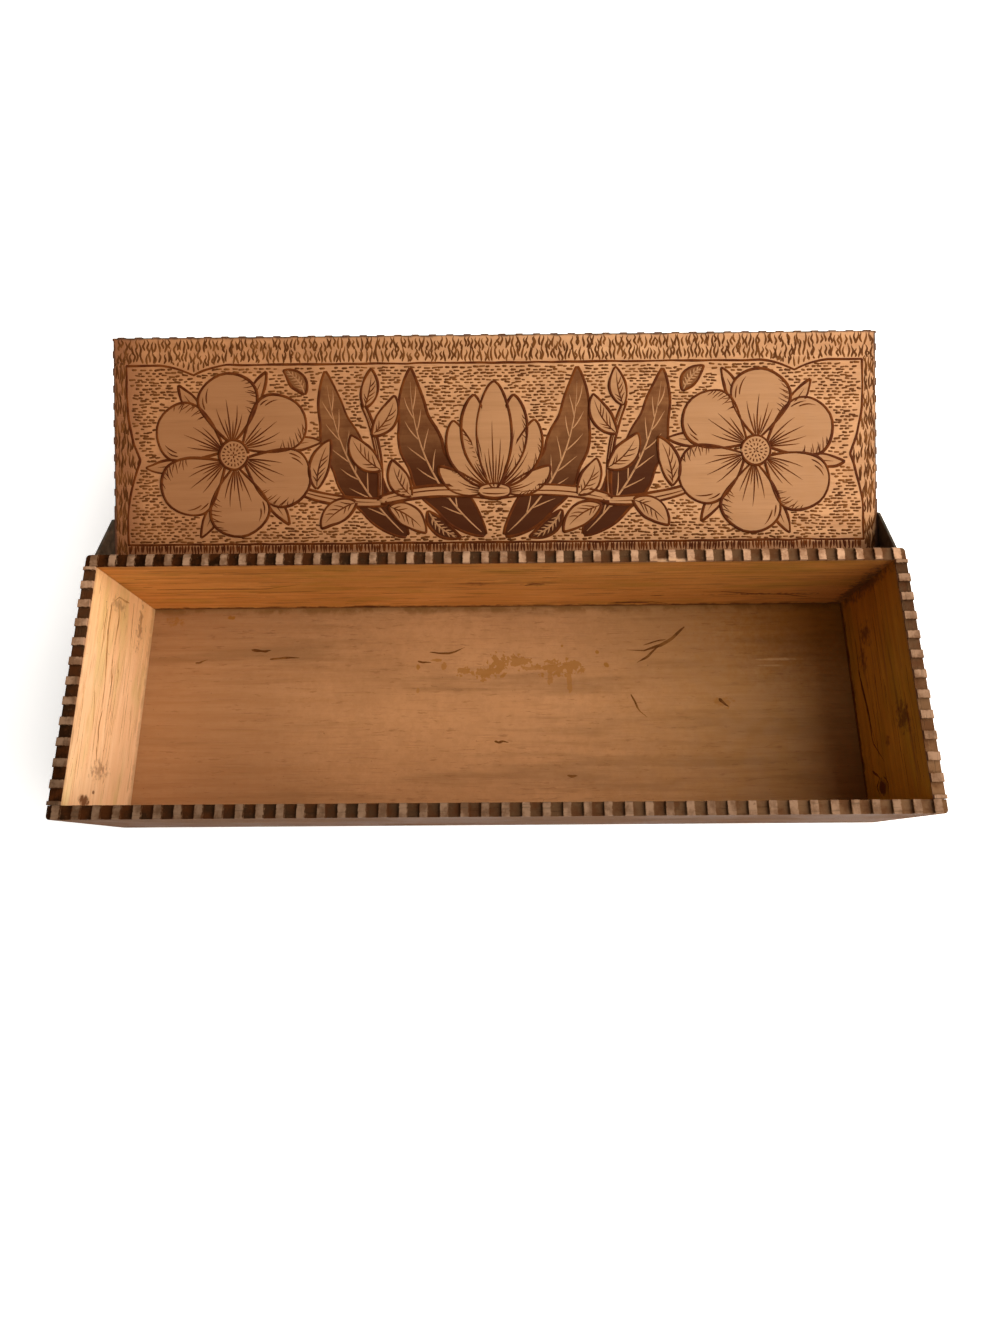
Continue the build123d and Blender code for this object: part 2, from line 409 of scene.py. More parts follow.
take, give = new_group("weathered outside", {"Streaks": 0.0, "Bands": 0.0, "Grime": 0.0}, ("Colour",))
brown = coats(
    OUTSIDE_DEEP,
    (take["Streaks"], OUTSIDE_PALE),
    (take["Bands"] * 0.35, OUTSIDE_DEEP),
    (take["Grime"] * 0.35, OUTSIDE_DIRT),
)
feed(give["Colour"], brown)
print("weathered group has", len(brown.tree.nodes), "nodes")


def weathered_wood(grain, age):
    """The outside colour, from a board's own grain and age."""
    streaks, bands, grime = grain["Streaks"], grain["Bands"], age["Grime"]
    return use_group("weathered outside", Streaks=streaks, Bands=bands, Grime=grime)["Colour"]


# %% [markdown]
# ## The boards
# The four walls and the floor are the CAD solids. Real edges this old have no sharp line left, so each
# board gets live modifiers: a weld joins its loose triangles, a planar clean-up leaves whole faces, and a
# small bevel rounds every arris. The inside was never stained and still looks yellow with a few olive
# patches, the outside and the rims went grey-brown, and the burn lies in the notches. Painted light and
# shade lie over these: the left end board is painted lighter and the right one darker, the insides turn
# lighter or darker towards their ends, the teeth grow paler and the notches' burn weaker along each rim
# towards the light, and the corners and the foot of the walls are painted darker. One function writes that
# finish for all four.

# %% Wear the corners
def wear_corners(name, width):
    """Rounds the edges of a CAD solid with live modifiers and leaves its mesh alone."""
    solid = frame["nodes"][name]
    weld = solid.modifiers.new("join the triangles", "WELD")
    weld.merge_threshold = 0.002 * MM
    plane = solid.modifiers.new("whole faces", "DECIMATE")
    plane.decimate_type, plane.angle_limit = "DISSOLVE", math.radians(1)
    bevel = solid.modifiers.new("worn edge", "BEVEL")
    bevel.width, bevel.segments = width, 2
    bevel.limit_method, bevel.angle_limit = "ANGLE", math.radians(28)


def dress(name, material):
    """Gives a CAD solid its finish."""
    mesh = frame["nodes"][name].data
    mesh.materials.clear()
    mesh.materials.append(material)


BOARDS = ("front_board", "rear_board", "left_end_board", "right_end_board", "bottom_board", "lid_board")
for name in BOARDS:
    wear_corners(name, 0.35 * MM)
print("worn:", ", ".join(BOARDS))

# %% Mix the colours of the walls
RIM_NOTCH = 1.3 * MM
LONG_PITCH, END_PITCH = 7.5 * MM, 7.625 * MM

# The end boards are one wood: the left one's golden tone is partly painted light, the right one's umber tone
# partly painted shade.
GOLDEN_AND_LIT = ((0.86, 0.555, 0.315), (0.75, 0.430, 0.220))
AMBER = ((0.75, 0.345, 0.094), (0.52, 0.215, 0.049))
UMBER_AND_SHADED = ((0.58, 0.300, 0.040), (0.43, 0.200, 0.024))
OLIVE = (0.84, 0.92, 0.78)
PORE, DRAG, KNOT_AND_CORNER_SHADE, SEAM_DIRT_AND_SHADE, SINGE_HALO = (
    (0.26, 0.11, 0.04), (0.20, 0.085, 0.026), (0.13, 0.05, 0.018), (0.13, 0.055, 0.018), (0.24, 0.10, 0.035)
)
TOOTH_PALE, TOOTH_DEEP, TOOTH_PORE = (0.32, 0.184, 0.108), (0.16, 0.080, 0.041), (0.13, 0.08, 0.045)
SCORCHED, SINGED, WARM_BURN = (0.013, 0.004, 0.001), (0.048, 0.013, 0.003), (1.0, 0.88, 0.68)
RUBBED_BARE, SPECK = (0.54, 0.31, 0.17), (0.09, 0.04, 0.02)
NO_PAINTED_LIGHT = ((1, 1, 1), (1, 1, 1))
print("gold, amber or umber inside, grey-brown teeth, burned notches of", RIM_NOTCH / MM, "mm")


# %% Write the finish of a wall board
def wall_finish(name, along_x, seed, tone, drags=0.35, soil_and_shade=0.85, scorch=(1.0, 1.0), tooth_light_slope=(1.0, 1.0),
                light_and_shade_tints=NO_PAINTED_LIGHT, spots=(), worn=(), lay=None):
    """Pale inside, grey-brown outside and rim, scorched notches. along_x says which way the board runs.
    scorch gives the burn of the notches at the board's two ends; where it weakens towards one end, that is
    painted light. tooth_light_slope is painted light: how pale the teeth are at the two ends.
    light_and_shade_tints is painted light and shade: the inside's shift of colour at its low and its high
    end. spots are dark blots, some of them painted shade in corners and along the foot of a wall, and worn
    are places worn back to pale wood."""
    material, shader, place = new_finish(name, 0.02)
    half, inner = (INNER_X, INNER_Y) if along_x else (INNER_Y, INNER_X)
    pitch, shift = (LONG_PITCH, 0.0) if along_x else (END_PITCH, END_PITCH / 2)
    grain = grain_of(place if along_x else move(place, turn=(0, 0, math.pi / 2)), seed)
    age = age_of(place, seed + 3.0)
    x, y, z = parts(place)
    along, across = (x, y) if along_x else (y, x)
    past_end = fade(abs(along), half + 0.2 * MM, half + 0.6 * MM)
    outside = fade(abs(across), inner + 0.05 * MM, inner + 0.3 * MM).work_out("MAXIMUM", past_end)
    top_rim = fade(z, RIM - 2.2 * MM, RIM - 1.2 * MM)
    below_rim = RIM - z
    notch = scorch_of(place, along, pitch, shift, below_rim, RIM_NOTCH + 0.1 * MM)
    # Dirt and painted shade: the wall darkens just above the floor, where the joint lies in shade.
    seam = fade(age["Grime"] * (2.6 * MM) + z, FLOOR_TOP + 2.4 * MM, FLOOR_TOP + 5.4 * MM, soil_and_shade, 0.0)
    halo = fade(age["Grime"] * (1.6 * MM) + below_rim, 1.8 * MM, 5.0 * MM, 0.40, 0.0)
    olive = fade(cloud(place, (20, 20, 60), 3.0, 0.6, seed), 0.48, 0.66)

    pale, deep = tone
    inside = coats(
        deep,
        (grain["Streaks"], pale),
        (grain["Bands"] * 0.18, deep),
        # Painted light and shade: the inside turns lighter or darker towards each end.
        (fade(along, -half, 0.0, 1.0, 0.0), light_and_shade_tints[0], "MULTIPLY"),
        (fade(along, 0.0, half), light_and_shade_tints[1], "MULTIPLY"),
        (grain["Pores"] * 0.45, PORE),
        (age["Patches"] * 0.45, deep),
        (age["Drags"] * drags, DRAG),
        (olive, OLIVE, "MULTIPLY"),
        (seam, SEAM_DIRT_AND_SHADE),
        (halo, SINGE_HALO),
        (stains(place, spots, lay), KNOT_AND_CORNER_SHADE),
    )
    tooth = coats(
        TOOTH_PALE,
        (age["Grime"], TOOTH_DEEP),
        (grain["Pores"] * 0.5, TOOTH_PORE),
        # Painted light: the teeth grow paler or darker along the rim as the light falls on them.
        (1.0, fade(along, -half, half, *tooth_light_slope), "MULTIPLY"),
    )
    colour = coats(
        inside,
        (outside, weathered_wood(grain, age)),
        (top_rim, tooth),
        (notch, WARM_BURN, "MULTIPLY"),
        # The burn itself is real; its weakening along the rim is painted light, where light falls into the
        # notches.
        (notch * fade(along, -half, half, *scorch), coats(SCORCHED, (age["Grime"], SINGED))),
        (stains(place, worn, lay), RUBBED_BARE),
        (age["Specks"] * 0.5, SPECK),
    )
    height = grain["Streaks"] * 0.5 - grain["Pores"] - age["Grime"]
    lay_on(shader, colour, fade(age["Patches"], 0.0, 1.0, 0.52, 0.72), height, 0.12 * MM, 0.8)
    return material


print("notches every", round(LONG_PITCH / MM, 3), "mm on long walls,", round(END_PITCH / MM, 3), "mm on ends")

# %% Measure the spots and finish the walls
LEFT_WALL_SPOTS = (
    (-42.8, 54.5, 2.6, 5.8, 0.28, 0.5, 0.95),
    (-39.2, 46.7, 0.9, 1.6, 0.10, 0.5, 0.80),
    (-30.5, 44.0, 4.2, 10.0, 0.60, 0.9, 0.55),
    (36.5, 48.0, 4.0, 9.0, 0.70, 0.9, 0.40),
    (33.0, 21.0, 12.0, 3.0, 0.80, 0.9, 0.50),
)
RIGHT_WALL_SPOTS = (
    (38.1, 26.3, 3.6, 5.2, 0.20, 0.4, 1.00),
    (13.7, 58.5, 7.5, 8.5, 0.45, 0.8, 0.80),
    (20.9, 38.3, 3.0, 4.0, 0.45, 0.8, 0.65),
    (-25.0, 31.6, 6.5, 7.5, 0.45, 0.9, 0.80),
    (-14.6, 25.1, 8.0, 5.0, 0.45, 0.9, 0.70),
    # Painted shade: a tall dark strip in the corner by the rear wall.
    (-45.0, 40.0, 5.0, 45.0, 0.40, 0.9, 0.85),
    # Dirt and painted shade along the foot of the wall.
    (0.0, 5.0, 60.0, 4.0, 0.35, 0.7, 0.90),
)
REAR_WALL_SPOTS = (
    (-7.2, 44.7, 7.0, 3.2, 0.5, 0.8, 0.45),
    (17.0, 43.2, 6.0, 3.2, 0.6, 0.8, 0.50),
    (-59.6, 7.5, 11.0, 2.2, 0.5, 0.6, 0.85),
    (62.0, 11.0, 13.0, 1.6, 0.5, 0.6, 0.80),
    (123.8, 5.0, 3.5, 3.0, 0.4, 0.5, 0.95),
    (120.0, 24.0, 26.0, 2.0, 0.6, 0.8, 0.75),
    # Painted shade: a tall dark strip in the corner by the right wall.
    (159.0, 35.0, 5.5, 46.0, 0.40, 0.9, 0.90),
)
REAR_WORN = (
    (71.5, 75.3, 12.0, 1.7, 0.12, 0.5, 0.9, 2.0),
    (16.0, 75.6, 6.0, 1.2, 0.12, 0.6, 0.5, 1.2),
)
dress("front_board", wall_finish("front_wood", True, 1.0, AMBER, scorch=(0.95, 0.48), tooth_light_slope=(0.58, 0.84)))
dress("rear_board", wall_finish(
    "rear_wood", True, 2.0, AMBER, drags=0.60, scorch=(1.0, 0.78), tooth_light_slope=(1.00, 1.68),
    light_and_shade_tints=((0.98, 1.0, 1.0), (0.82, 0.74, 0.60)), spots=REAR_WALL_SPOTS, worn=REAR_WORN, lay=on_rear_wall,
))
dress("left_end_board", wall_finish(
    "left_end_wood", False, 3.0, GOLDEN_AND_LIT, drags=0.28, soil_and_shade=0.3, scorch=(1.0, 0.88), tooth_light_slope=(0.50, 1.45),
    light_and_shade_tints=((0.90, 0.97, 1.0), (1.0, 0.96, 0.76)), spots=LEFT_WALL_SPOTS, lay=on_left_wall,
))
dress("right_end_board", wall_finish(
    "right_end_wood", False, 4.0, UMBER_AND_SHADED, drags=0.6, scorch=(0.42, 0.84), tooth_light_slope=(0.98, 0.95),
    light_and_shade_tints=((0.93, 0.96, 0.85), (0.82, 0.64, 0.50)), spots=RIGHT_WALL_SPOTS, lay=on_right_wall,
))
print("spots:", len(LEFT_WALL_SPOTS), "left,", len(RIGHT_WALL_SPOTS), "right,", len(REAR_WALL_SPOTS), "rear")

# %% [markdown]
# ## The floor of the box
# The floor is a plainer board with a fine even grain. Its middle is painted light, its edges are darker with
# dirt and painted shade, and something once dripped on it: a chain of brown drops lies a little behind the
# middle. The drops and two pale scrapes are flat, so they are blots in the finish, while the dark scratches
# are cut and get shapes of their own. A wide pool of painted light and a painted shade in the far right
# corner are blots too, only much larger, and painted shade turns the floor yellower towards the right wall.

# %% Measure the spots of the floor
FLOOR_PALE, FLOOR_DEEP, FLOOR_PAINTED_LIGHT = (0.38, 0.190, 0.080), (0.31, 0.146, 0.056), (0.50, 0.245, 0.098)
FLOOR_VEIL, FLOOR_FLECK, FLOOR_PORE = (0.19, 0.090, 0.030), (0.17, 0.072, 0.026), (0.25, 0.115, 0.045)
FLOOR_PATCH, EDGE_DIRT_AND_SHADE, UNDERSIDE = (0.27, 0.125, 0.046), (0.17, 0.070, 0.012), (0.26, 0.15, 0.075)
RIGHT_SHADE_TINT, SHADED = (1.0, 0.97, 0.68), (0.76, 0.56, 0.15)
SCRAPED, DROP_BROWN, FLOOR_SPECK = (0.50, 0.27, 0.11), (0.28, 0.112, 0.015), (0.10, 0.045, 0.02)

# Painted light: a wide pale pool where the lamp lights the middle of the floor.
PAINTED_LIGHT_POOL = ((-5, 2, 120, 125, 0.10, 0.85, 0.75),)
SHADE = ((150, 40, 75, 45, 0.12, 0.95, 1.0),)
SCRAPES = (
    (128.5, 20.0, 12.0, 0.8, 0.28, 0.80, 0.65),
    (126.0, 17.2, 8.5, 0.7, 0.28, 0.80, 0.55),
)
DROPS = (
    (-15.8, 16.0, 2.4, 2.2, 0.60, 0.10, 0.70),
    (-6.0, 14.8, 5.2, 2.6, 0.75, 0.10, 0.75),
    (0.5, 18.0, 3.6, 4.8, 0.75, 0.10, 0.75),
    (8.5, 20.0, 5.8, 2.8, 0.70, 0.10, 0.70),
    (17.0, 16.8, 5.6, 1.2, 0.45, 0.15, 0.60),
    (26.2, 16.8, 6.8, 3.0, 0.80, 0.10, 0.75),
    (34.5, 17.2, 4.6, 3.2, 0.80, 0.10, 0.75),
    (33.0, 11.0, 1.2, 5.8, 0.35, 0.15, 0.65),
    (24.0, 12.5, 1.2, 3.6, 0.35, 0.15, 0.60),
    (50.0, 18.0, 1.3, 1.3, 0.20, 0.30, 0.90),
    (46.0, 24.0, 1.0, 1.0, 0.20, 0.30, 0.90),
    (30.0, 27.0, 0.7, 0.7, 0.20, 0.30, 0.80),
    (102.0, 1.0, 4.5, 2.8, 0.60, 0.60, 0.70),
    (133.0, 17.8, 5.0, 1.6, 0.60, 0.60, 0.70),
    (-123.8, 41.5, 2.4, 1.1, 0.30, 0.40, 0.95),
    (-150.0, 39.8, 6.0, 2.4, 0.60, 0.80, 0.60),
    (-36.2, 17.8, 1.1, 1.5, 0.20, 0.40, 0.80),
    (-27.5, 20.9, 2.8, 0.8, 0.25, 0.40, 0.75),
    (-24.3, 18.1, 1.7, 2.2, 0.50, 0.40, 0.65),
    (-35.9, 6.9, 0.9, 1.4, 0.20, 0.40, 0.55),
)
print("drops on the floor:", len(DROPS))

# %% Write the floor finish
floor_wood, shader, place = new_finish("floor_wood", 0.15)
grain, age = grain_of(place, 7.0, 0.5), age_of(place, 11.0)
x, y, z = parts(place)
soil_and_shade = age["Grime"] * (2.0 * MM)
# Dirt and painted shade: the floor darkens along the walls, most of all by the shaded right end.
near_long_wall = fade(y + soil_and_shade, INNER_Y - 3 * MM, INNER_Y + 1.5 * MM, 0.0, 0.8)
near_end_wall = fade(x + soil_and_shade, INNER_X - 11 * MM, INNER_X + 1 * MM, 0.0, 0.30)
under_walls = (abs(x) - INNER_X).work_out("MAXIMUM", abs(y) - INNER_Y)
colour = coats(
    FLOOR_DEEP,
    (grain["Streaks"], FLOOR_PALE),
    (stains(place, PAINTED_LIGHT_POOL, on_floor, 100), FLOOR_PAINTED_LIGHT),
    (fade(cloud(place, 260.0, 5.0, 0.7), 0.42, 0.62, 0.0, 0.28), FLOOR_DEEP),
    (fade(cloud(place, (9, 110, 110), 5.0, 0.62), 0.50, 0.70, 0.0, 0.5), FLOOR_VEIL),
    (fade(cloud(place, (150, 900, 900), 3.0, 0.6), 0.60, 0.70, 0.0, 0.45), FLOOR_FLECK),
    (grain["Pores"] * 0.30, FLOOR_PORE),
    (age["Patches"] * 0.35, FLOOR_PATCH),
    (near_long_wall.work_out("MAXIMUM", near_end_wall), EDGE_DIRT_AND_SHADE),
    # Painted shade: the floor turns yellower and less blue towards the shaded right wall.
    (fade(x, 10 * MM, 150 * MM), RIGHT_SHADE_TINT, "MULTIPLY"),
    (stains(place, SHADE, on_floor, 100), SHADED, "MULTIPLY"),
    (stains(place, SCRAPES, on_floor, 20), SCRAPED),
    (stains(place, DROPS, on_floor, 20), DROP_BROWN),
    (fade(z, 0.0, FLOOR_TOP - 1 * MM, 1.0, 0.0), UNDERSIDE),
    (fade(under_walls, 1.0 * MM, 4.2 * MM), weathered_wood(grain, age)),
    (age["Specks"] * 0.5, FLOOR_SPECK),
)
height = grain["Streaks"] * 0.6 - grain["Pores"]
lay_on(shader, colour, fade(age["Grime"], 0.0, 1.0, 0.5, 0.68), height, 0.08 * MM, 0.7)
dress("bottom_board", floor_wood)
print("floor finish has", len(colour.tree.nodes), "nodes")

# %% [markdown]
# ## The lid's own flat map
# Everything on the lid is drawn flat: u runs along the hinge from the middle, v runs from the hinge edge to
# the far edge, and lift is the height over the burned face. The map takes the lean of the open lid from the
# joint, so the drawing stays on the board whatever the joint's angle.

# %% Lay out the lid
LID_DEPTH = 103.5 * MM
LEAN = math.radians(180 - frame["joints"][0]["range_deg"][1])
lid_low, lid_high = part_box("lid_board")
LID_HALF = (lid_high[0] - lid_low[0]) / 2
NEAR_Y, NEAR_Z = lid_low[1], lid_high[2] - LID_DEPTH * math.sin(LEAN)
SLOPE, RISE = math.cos(LEAN), math.sin(LEAN)
on_lid = on_board((0, NEAR_Y, NEAR_Z), X, (0, SLOPE, RISE), (0, -RISE, SLOPE))
print("lean", round(math.degrees(LEAN), 3), "degrees, lid half length", round(LID_HALF / MM, 2), "mm")

# %% [markdown]
# ## Carried sections
# A burned line, a dash, a petal and a leaf are one kind of shape: a low section carried along a path, as
# wide as the path says at each point and closed to a point at both ends. Curves with a bevel could draw the
# lines, but not the petals, and thousands of them would be slow. One numpy function makes any number at
# once, each a closed solid that is sunk a little into the wood.

# %% Carry sections along paths
SUNK = -0.05 * MM
LINE_SECTION = np.array([(-1, 0), (-0.78, 1), (0.78, 1), (1, 0)], float)
over = np.array([-1, -0.97, -0.9, -0.75, -0.5, -0.25, 0, 0.25, 0.5, 0.75, 0.9, 0.97, 1])
FIELD_SECTION = np.stack([over, np.clip((1 - np.abs(over)) * 25, 0, 0.9) + 0.1 * (1 - over ** 2)], axis=-1)


def path_normals(paths):
    """The unit slope of each path at its points, and the unit normal to its left, as two arrays."""
    slope = np.gradient(paths, axis=1)
    slope /= np.maximum(np.linalg.norm(slope, axis=-1, keepdims=True), 1e-12)
    return slope, np.stack([-slope[..., 1], slope[..., 0]], axis=-1)


def carry(paths, halves, top, section, lay=on_lid, tip=0.6):
    """Point = path + normal * half width * section's first column, lifted from SUNK to top by its second.

    paths is (shapes, points, 2) in metres on the flat map, halves and top fit (shapes, points). Both ends
    close on a pole that lies tip half widths beyond the path."""
    paths = np.asarray(paths, float)
    shapes, count, _ = paths.shape
    halves = np.broadcast_to(halves, (shapes, count))
    top = np.broadcast_to(top, (shapes, count))
    slope, normal = path_normals(paths)
    ring = paths[:, :, None] + normal[:, :, None] * (halves[..., None] * section[:, 0])[..., None]
    lift = SUNK + (top - SUNK)[..., None] * section[:, 1]
    ring = lay(ring[..., 0], ring[..., 1], lift)
    ends = np.stack([paths[:, 0] - slope[:, 0] * (tip * halves[:, 0])[:, None],
                     paths[:, -1] + slope[:, -1] * (tip * halves[:, -1])[:, None]], axis=1)
    poles = lay(ends[..., 0], ends[..., 1], np.zeros((shapes, 2)))
    k = len(section)
    points = np.concatenate([ring.reshape(shapes, count * k, 3), poles], axis=1)
    first = (np.arange(shapes) * (count * k + 2))[:, None, None]
    at = first + np.arange(count)[:, None] * k + np.arange(k)
    after = np.roll(at, -1, axis=2)
    quads = np.stack([at[:, :-1], after[:, :-1], after[:, 1:], at[:, 1:]], axis=-1).reshape(-1, 4)
    start = np.broadcast_to(first[:, 0] + count * k, (shapes, k))
    head = np.stack([start, after[:, 0], at[:, 0]], axis=-1)
    tail = np.stack([start + 1, at[:, -1], after[:, -1]], axis=-1)
    return points.reshape(-1, 3), quads, np.concatenate([head, tail]).reshape(-1, 3)


print("a line's section has", len(LINE_SECTION), "corners, a field's has", len(FIELD_SECTION))


# %% Join shapes and make pieces
def gather(*shapes):
    """Several results of carry as one: later corners are counted on from the earlier points."""
    offsets = np.cumsum([0] + [len(points) for points, _, _ in shapes[:-1]])
    points, quads, tris = zip(*((p, q + o, t + o) for (p, q, t), o in zip(shapes, offsets)))
    return np.concatenate(points), np.concatenate(quads), np.concatenate(tris)


def triangles(shape):
    """How many triangles a result of carry has."""
    return 2 * len(shape[1]) + len(shape[2])


def make_piece(name, shape, material, body):
    """Puts points, quads and triangles into a mesh, smooth and outward, and hands the piece to its body."""
    points, quads, tris = shape
    corners = np.concatenate([quads.ravel(), tris.ravel()])
    sizes = np.concatenate([np.full(len(quads), 4), np.full(len(tris), 3)])
    mesh = bpy.data.meshes.new(name)
    mesh.vertices.add(len(points))
    mesh.vertices.foreach_set("co", points.astype(np.float32).ravel())
    mesh.loops.add(len(corners))
    mesh.loops.foreach_set("vertex_index", corners.astype(np.int32))
    mesh.polygons.add(len(sizes))
    mesh.polygons.foreach_set("loop_start", (np.cumsum(sizes) - sizes).astype(np.int32))
    mesh.polygons.foreach_set("use_smooth", np.ones(len(sizes), bool))
    mesh.update(calc_edges=True)
    mesh.materials.append(material)
    piece = bpy.data.objects.new(name, mesh)
    bpy.context.scene.collection.objects.link(piece)
    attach(piece, body)
    print(name, "has", triangles(shape), "triangles")


short_line = carry([[(0, 0), (1 * MM, 0)]], 0.1 * MM, 0.05 * MM, LINE_SECTION)
print("the shortest line has", triangles(short_line), "triangles")

# %% [markdown]
# ## The bordering line
# The drawing is framed by one burned line. It runs straight along the hinge side, dips to a point near both
# far corners, and swells in from each end. As a function it is a straight rectangle with pointed bumps
# taken off. A hand is never quite steady, so every path wanders a little and its width swells and thins.

# %% Draw the border
TOP_LINE, BOTTOM_LINE, SIDE_LINE = 91.0 * MM, 13.2 * MM, 159.2 * MM
DIP_AT, DIP, DIP_REACH = 130 * MM, 4.3 * MM, 15 * MM
SWELL_AT, SWELL, SWELL_REACH = 50 * MM, 5.6 * MM, 26 * MM
random = np.random.default_rng(41)


def bump(distance, reach):
    """A pointed bump: one at distance 0, nothing past reach, hollow on both flanks."""
    return np.clip(1 - np.abs(distance) / reach, 0, None) ** 1.8


def top_line(u):
    """The far side of the border: v = TOP_LINE less a bump at each dip."""
    return TOP_LINE - DIP * bump(np.abs(u) - DIP_AT, DIP_REACH)


def side_line(v):
    """The end of the border: u = SIDE_LINE less one bump."""
    return SIDE_LINE - SWELL * bump(v - SWELL_AT, SWELL_REACH)


def between_knots(values, count, eased):
    """count values along each path, from those at a few even knots on axis 1, joined straight or eased."""
    knots = values.shape[1]
    where = np.linspace(0, knots - 1, count)
    low = np.clip(where.astype(int), 0, knots - 2)
    part = where - low
    part = part * part * (3 - 2 * part) if eased else part
    part = part.reshape(-1, *[1] * (values.ndim - 2))
    return values[:, low] * (1 - part) + values[:, low + 1] * part


def shaky(paths, size, every=7):
    """Moves each path's points by a slow random wander of about size, as an unsteady hand does."""
    paths = np.array(paths, float)
    shapes, count, _ = paths.shape
    knots = random.normal(0, size, (shapes, max(3, count // every), 2))
    return paths + between_knots(knots, count, True)


def uneven(shape, low, high, every=9):
    """Half widths that swell and thin along each path, between about low and high."""
    shapes, count = shape
    return between_knots(random.uniform(low, high, (shapes, max(3, count // every))), count, False)


u = np.linspace(-SIDE_LINE, SIDE_LINE, 360)
v = np.linspace(BOTTOM_LINE, TOP_LINE, 110)
hinge_line = np.full_like(u, BOTTOM_LINE)
long_lines = shaky([np.stack([u, side], -1) for side in (top_line(u), hinge_line)], 0.10 * MM)
side_lines = shaky([np.stack([s * side_line(v), v], -1) for s in (-1, 1)], 0.10 * MM)
border = gather(*(
    carry(lines, uneven(lines.shape[:2], 0.42 * MM, 0.66 * MM), 0.09 * MM, LINE_SECTION)
    for lines in (long_lines, side_lines)
))
print("border triangles", triangles(border))

# %% [markdown]
# ## The design on the lid
# The maker drew in a folk manner: large plain flowers, leafy stems and dark-stained shapes on a dotted
# ground. This lid gets a design of that kind, mirrored about its middle: two six-petalled roses, an upright
# bud, stems with leaves, and dark arching leaves. Every part of it is a blade, which is a bent middle line
# with a width that grows and shrinks, so one function draws petals, leaves and stems alike.

# %% Draw blades
BLADE_POINTS = 40


def blade(start, end, bend, half, lean_to_tip=1.0, fullness=0.7, lobes=0, depth=0.0):
    """Middle line = start to end, bowed sideways by bend times its length. Half width = half times
    sin(pi * s ** lean_to_tip) ** fullness, pinched by depth between lobes. Sizes are in mm."""
    start, end = np.array(start, float), np.array(end, float)
    run = end - start
    control = (start + end) / 2 + bend * np.array([-run[1], run[0]])
    s = np.linspace(0.004, 0.996, BLADE_POINTS)
    line = ((1 - s) ** 2)[:, None] * start + (2 * s * (1 - s))[:, None] * control + (s ** 2)[:, None] * end
    width = half * np.sin(math.pi * s ** lean_to_tip) ** fullness
    width = width * (1 - depth * np.abs(np.cos(math.pi * lobes * s)) ** 3 * np.sin(math.pi * s) ** 0.5)
    return line * MM, width * MM


def rim_of(lines, widths):
    """The outline of each blade, once round from its root."""
    _, normal = path_normals(lines)
    left, right = lines + normal * widths[..., None], lines - normal * widths[..., None]
    return np.concatenate([left, right[:, ::-1]], axis=1)


def ray(centre, radius, degrees):
    """The point at that radius and direction from centre, in mm."""
    a = math.radians(degrees)
    return centre[0] + radius * math.cos(a), centre[1] + radius * math.sin(a)


def layer(blades, lift, step=0.0, turned=True):
    """Blades with their lifts in mm: each later blade lies step higher, so that it covers the last. turned
    adds the same ones turned over about the middle of the lid."""
    lines = np.stack([line for line, _ in blades])
    widths = np.stack([width for _, width in blades])
    lifts = (lift + step * np.arange(len(blades))) * MM
    if not turned:
        return lines, widths, lifts
    return np.concatenate([lines, lines * (-1.0, 1.0)]), np.tile(widths, (2, 1)), np.tile(lifts, 2)


print("a blade has", BLADE_POINTS, "points")

# %% Lay out the design
ROSE = (113.0, 52.0)
PETAL_TURNS = [20 + 60 * i for i in range(6)]
STEP_UP = 0.035

layers = {
    "dark_leaves": layer([
        blade((4, 16), (36, 89), -0.25, 10.0, 0.85, 0.72, 4, 0.14),
        blade((38, 16), (73, 88), -0.20, 9.4, 0.85, 0.72, 4, 0.14),
        blade((29, 27), (15, 15.5), 0.25, 3.4, 0.9, 0.8),
        blade((82, 78), (91, 88.5), 0.22, 3.4, 0.9, 0.8),
    ], 0.05),
    "sepals": layer([blade(ray(ROSE, 22, a + 31), ray(ROSE, 38.5, a + 32), -0.06, 2.8, 0.8, 0.8)
                     for a in PETAL_TURNS], 0.11),
    "stems": layer([
        blade((50, 30), (57, 74), 0.14, 1.0, 1.0, 0.12),
        blade((84, 36), (47, 31), 0.10, 2.0, 1.0, 0.12),
        blade((50, 31.5), (-3, 33), -0.13, 2.3, 1.0, 0.12),
    ], 0.16, STEP_UP),
    "leaves": layer([
        blade((56, 72), (53, 88.5), 0.10, 3.6, 0.9, 0.75),
        blade((53, 60), (43, 77), 0.20, 4.2, 0.9, 0.75),
        blade((49, 45), (62, 60), -0.20, 4.8, 0.9, 0.75),
        blade((60, 31), (75, 20), 0.18, 4.6, 0.9, 0.75),
        blade((46, 29), (30, 17.5), -0.18, 4.6, 0.9, 0.75),
        blade((36, 33.5), (44, 49), -0.20, 4.4, 0.9, 0.75),
        blade((77, 37), (71, 58), -0.16, 4.2, 0.9, 0.75),
    ], 0.27),
    "bud": layer([
        blade((3.0, 36), (24, 46), -0.24, 4.4, 1.1, 0.65),
        blade((2.0, 37), (17.5, 66), -0.22, 6.0, 1.1, 0.65),
        blade((1.0, 38), (8.5, 77), -0.14, 6.4, 1.1, 0.65),
    ], 0.27, STEP_UP),
    "petals": layer([blade(ray(ROSE, 5.0, a), ray(ROSE, 35.5, a + 3), 0.05, 12.9, 1.55, 0.55)
                     for a in PETAL_TURNS], 0.17, STEP_UP),
    "hearts": layer([blade((ROSE[0] - 6.4, ROSE[1]), (ROSE[0] + 6.4, ROSE[1]), 0, 6.4, 1.0, 0.5)], 0.42),
    "bud_middle": layer([blade((0, 36), (0, 83), 0, 7.6, 1.05, 0.6)], 0.40, turned=False),
    "collar": layer([blade((-7, 35.5), (7, 35.5), 0, 3.2, 1.0, 0.35)], 0.44, turned=False),
}
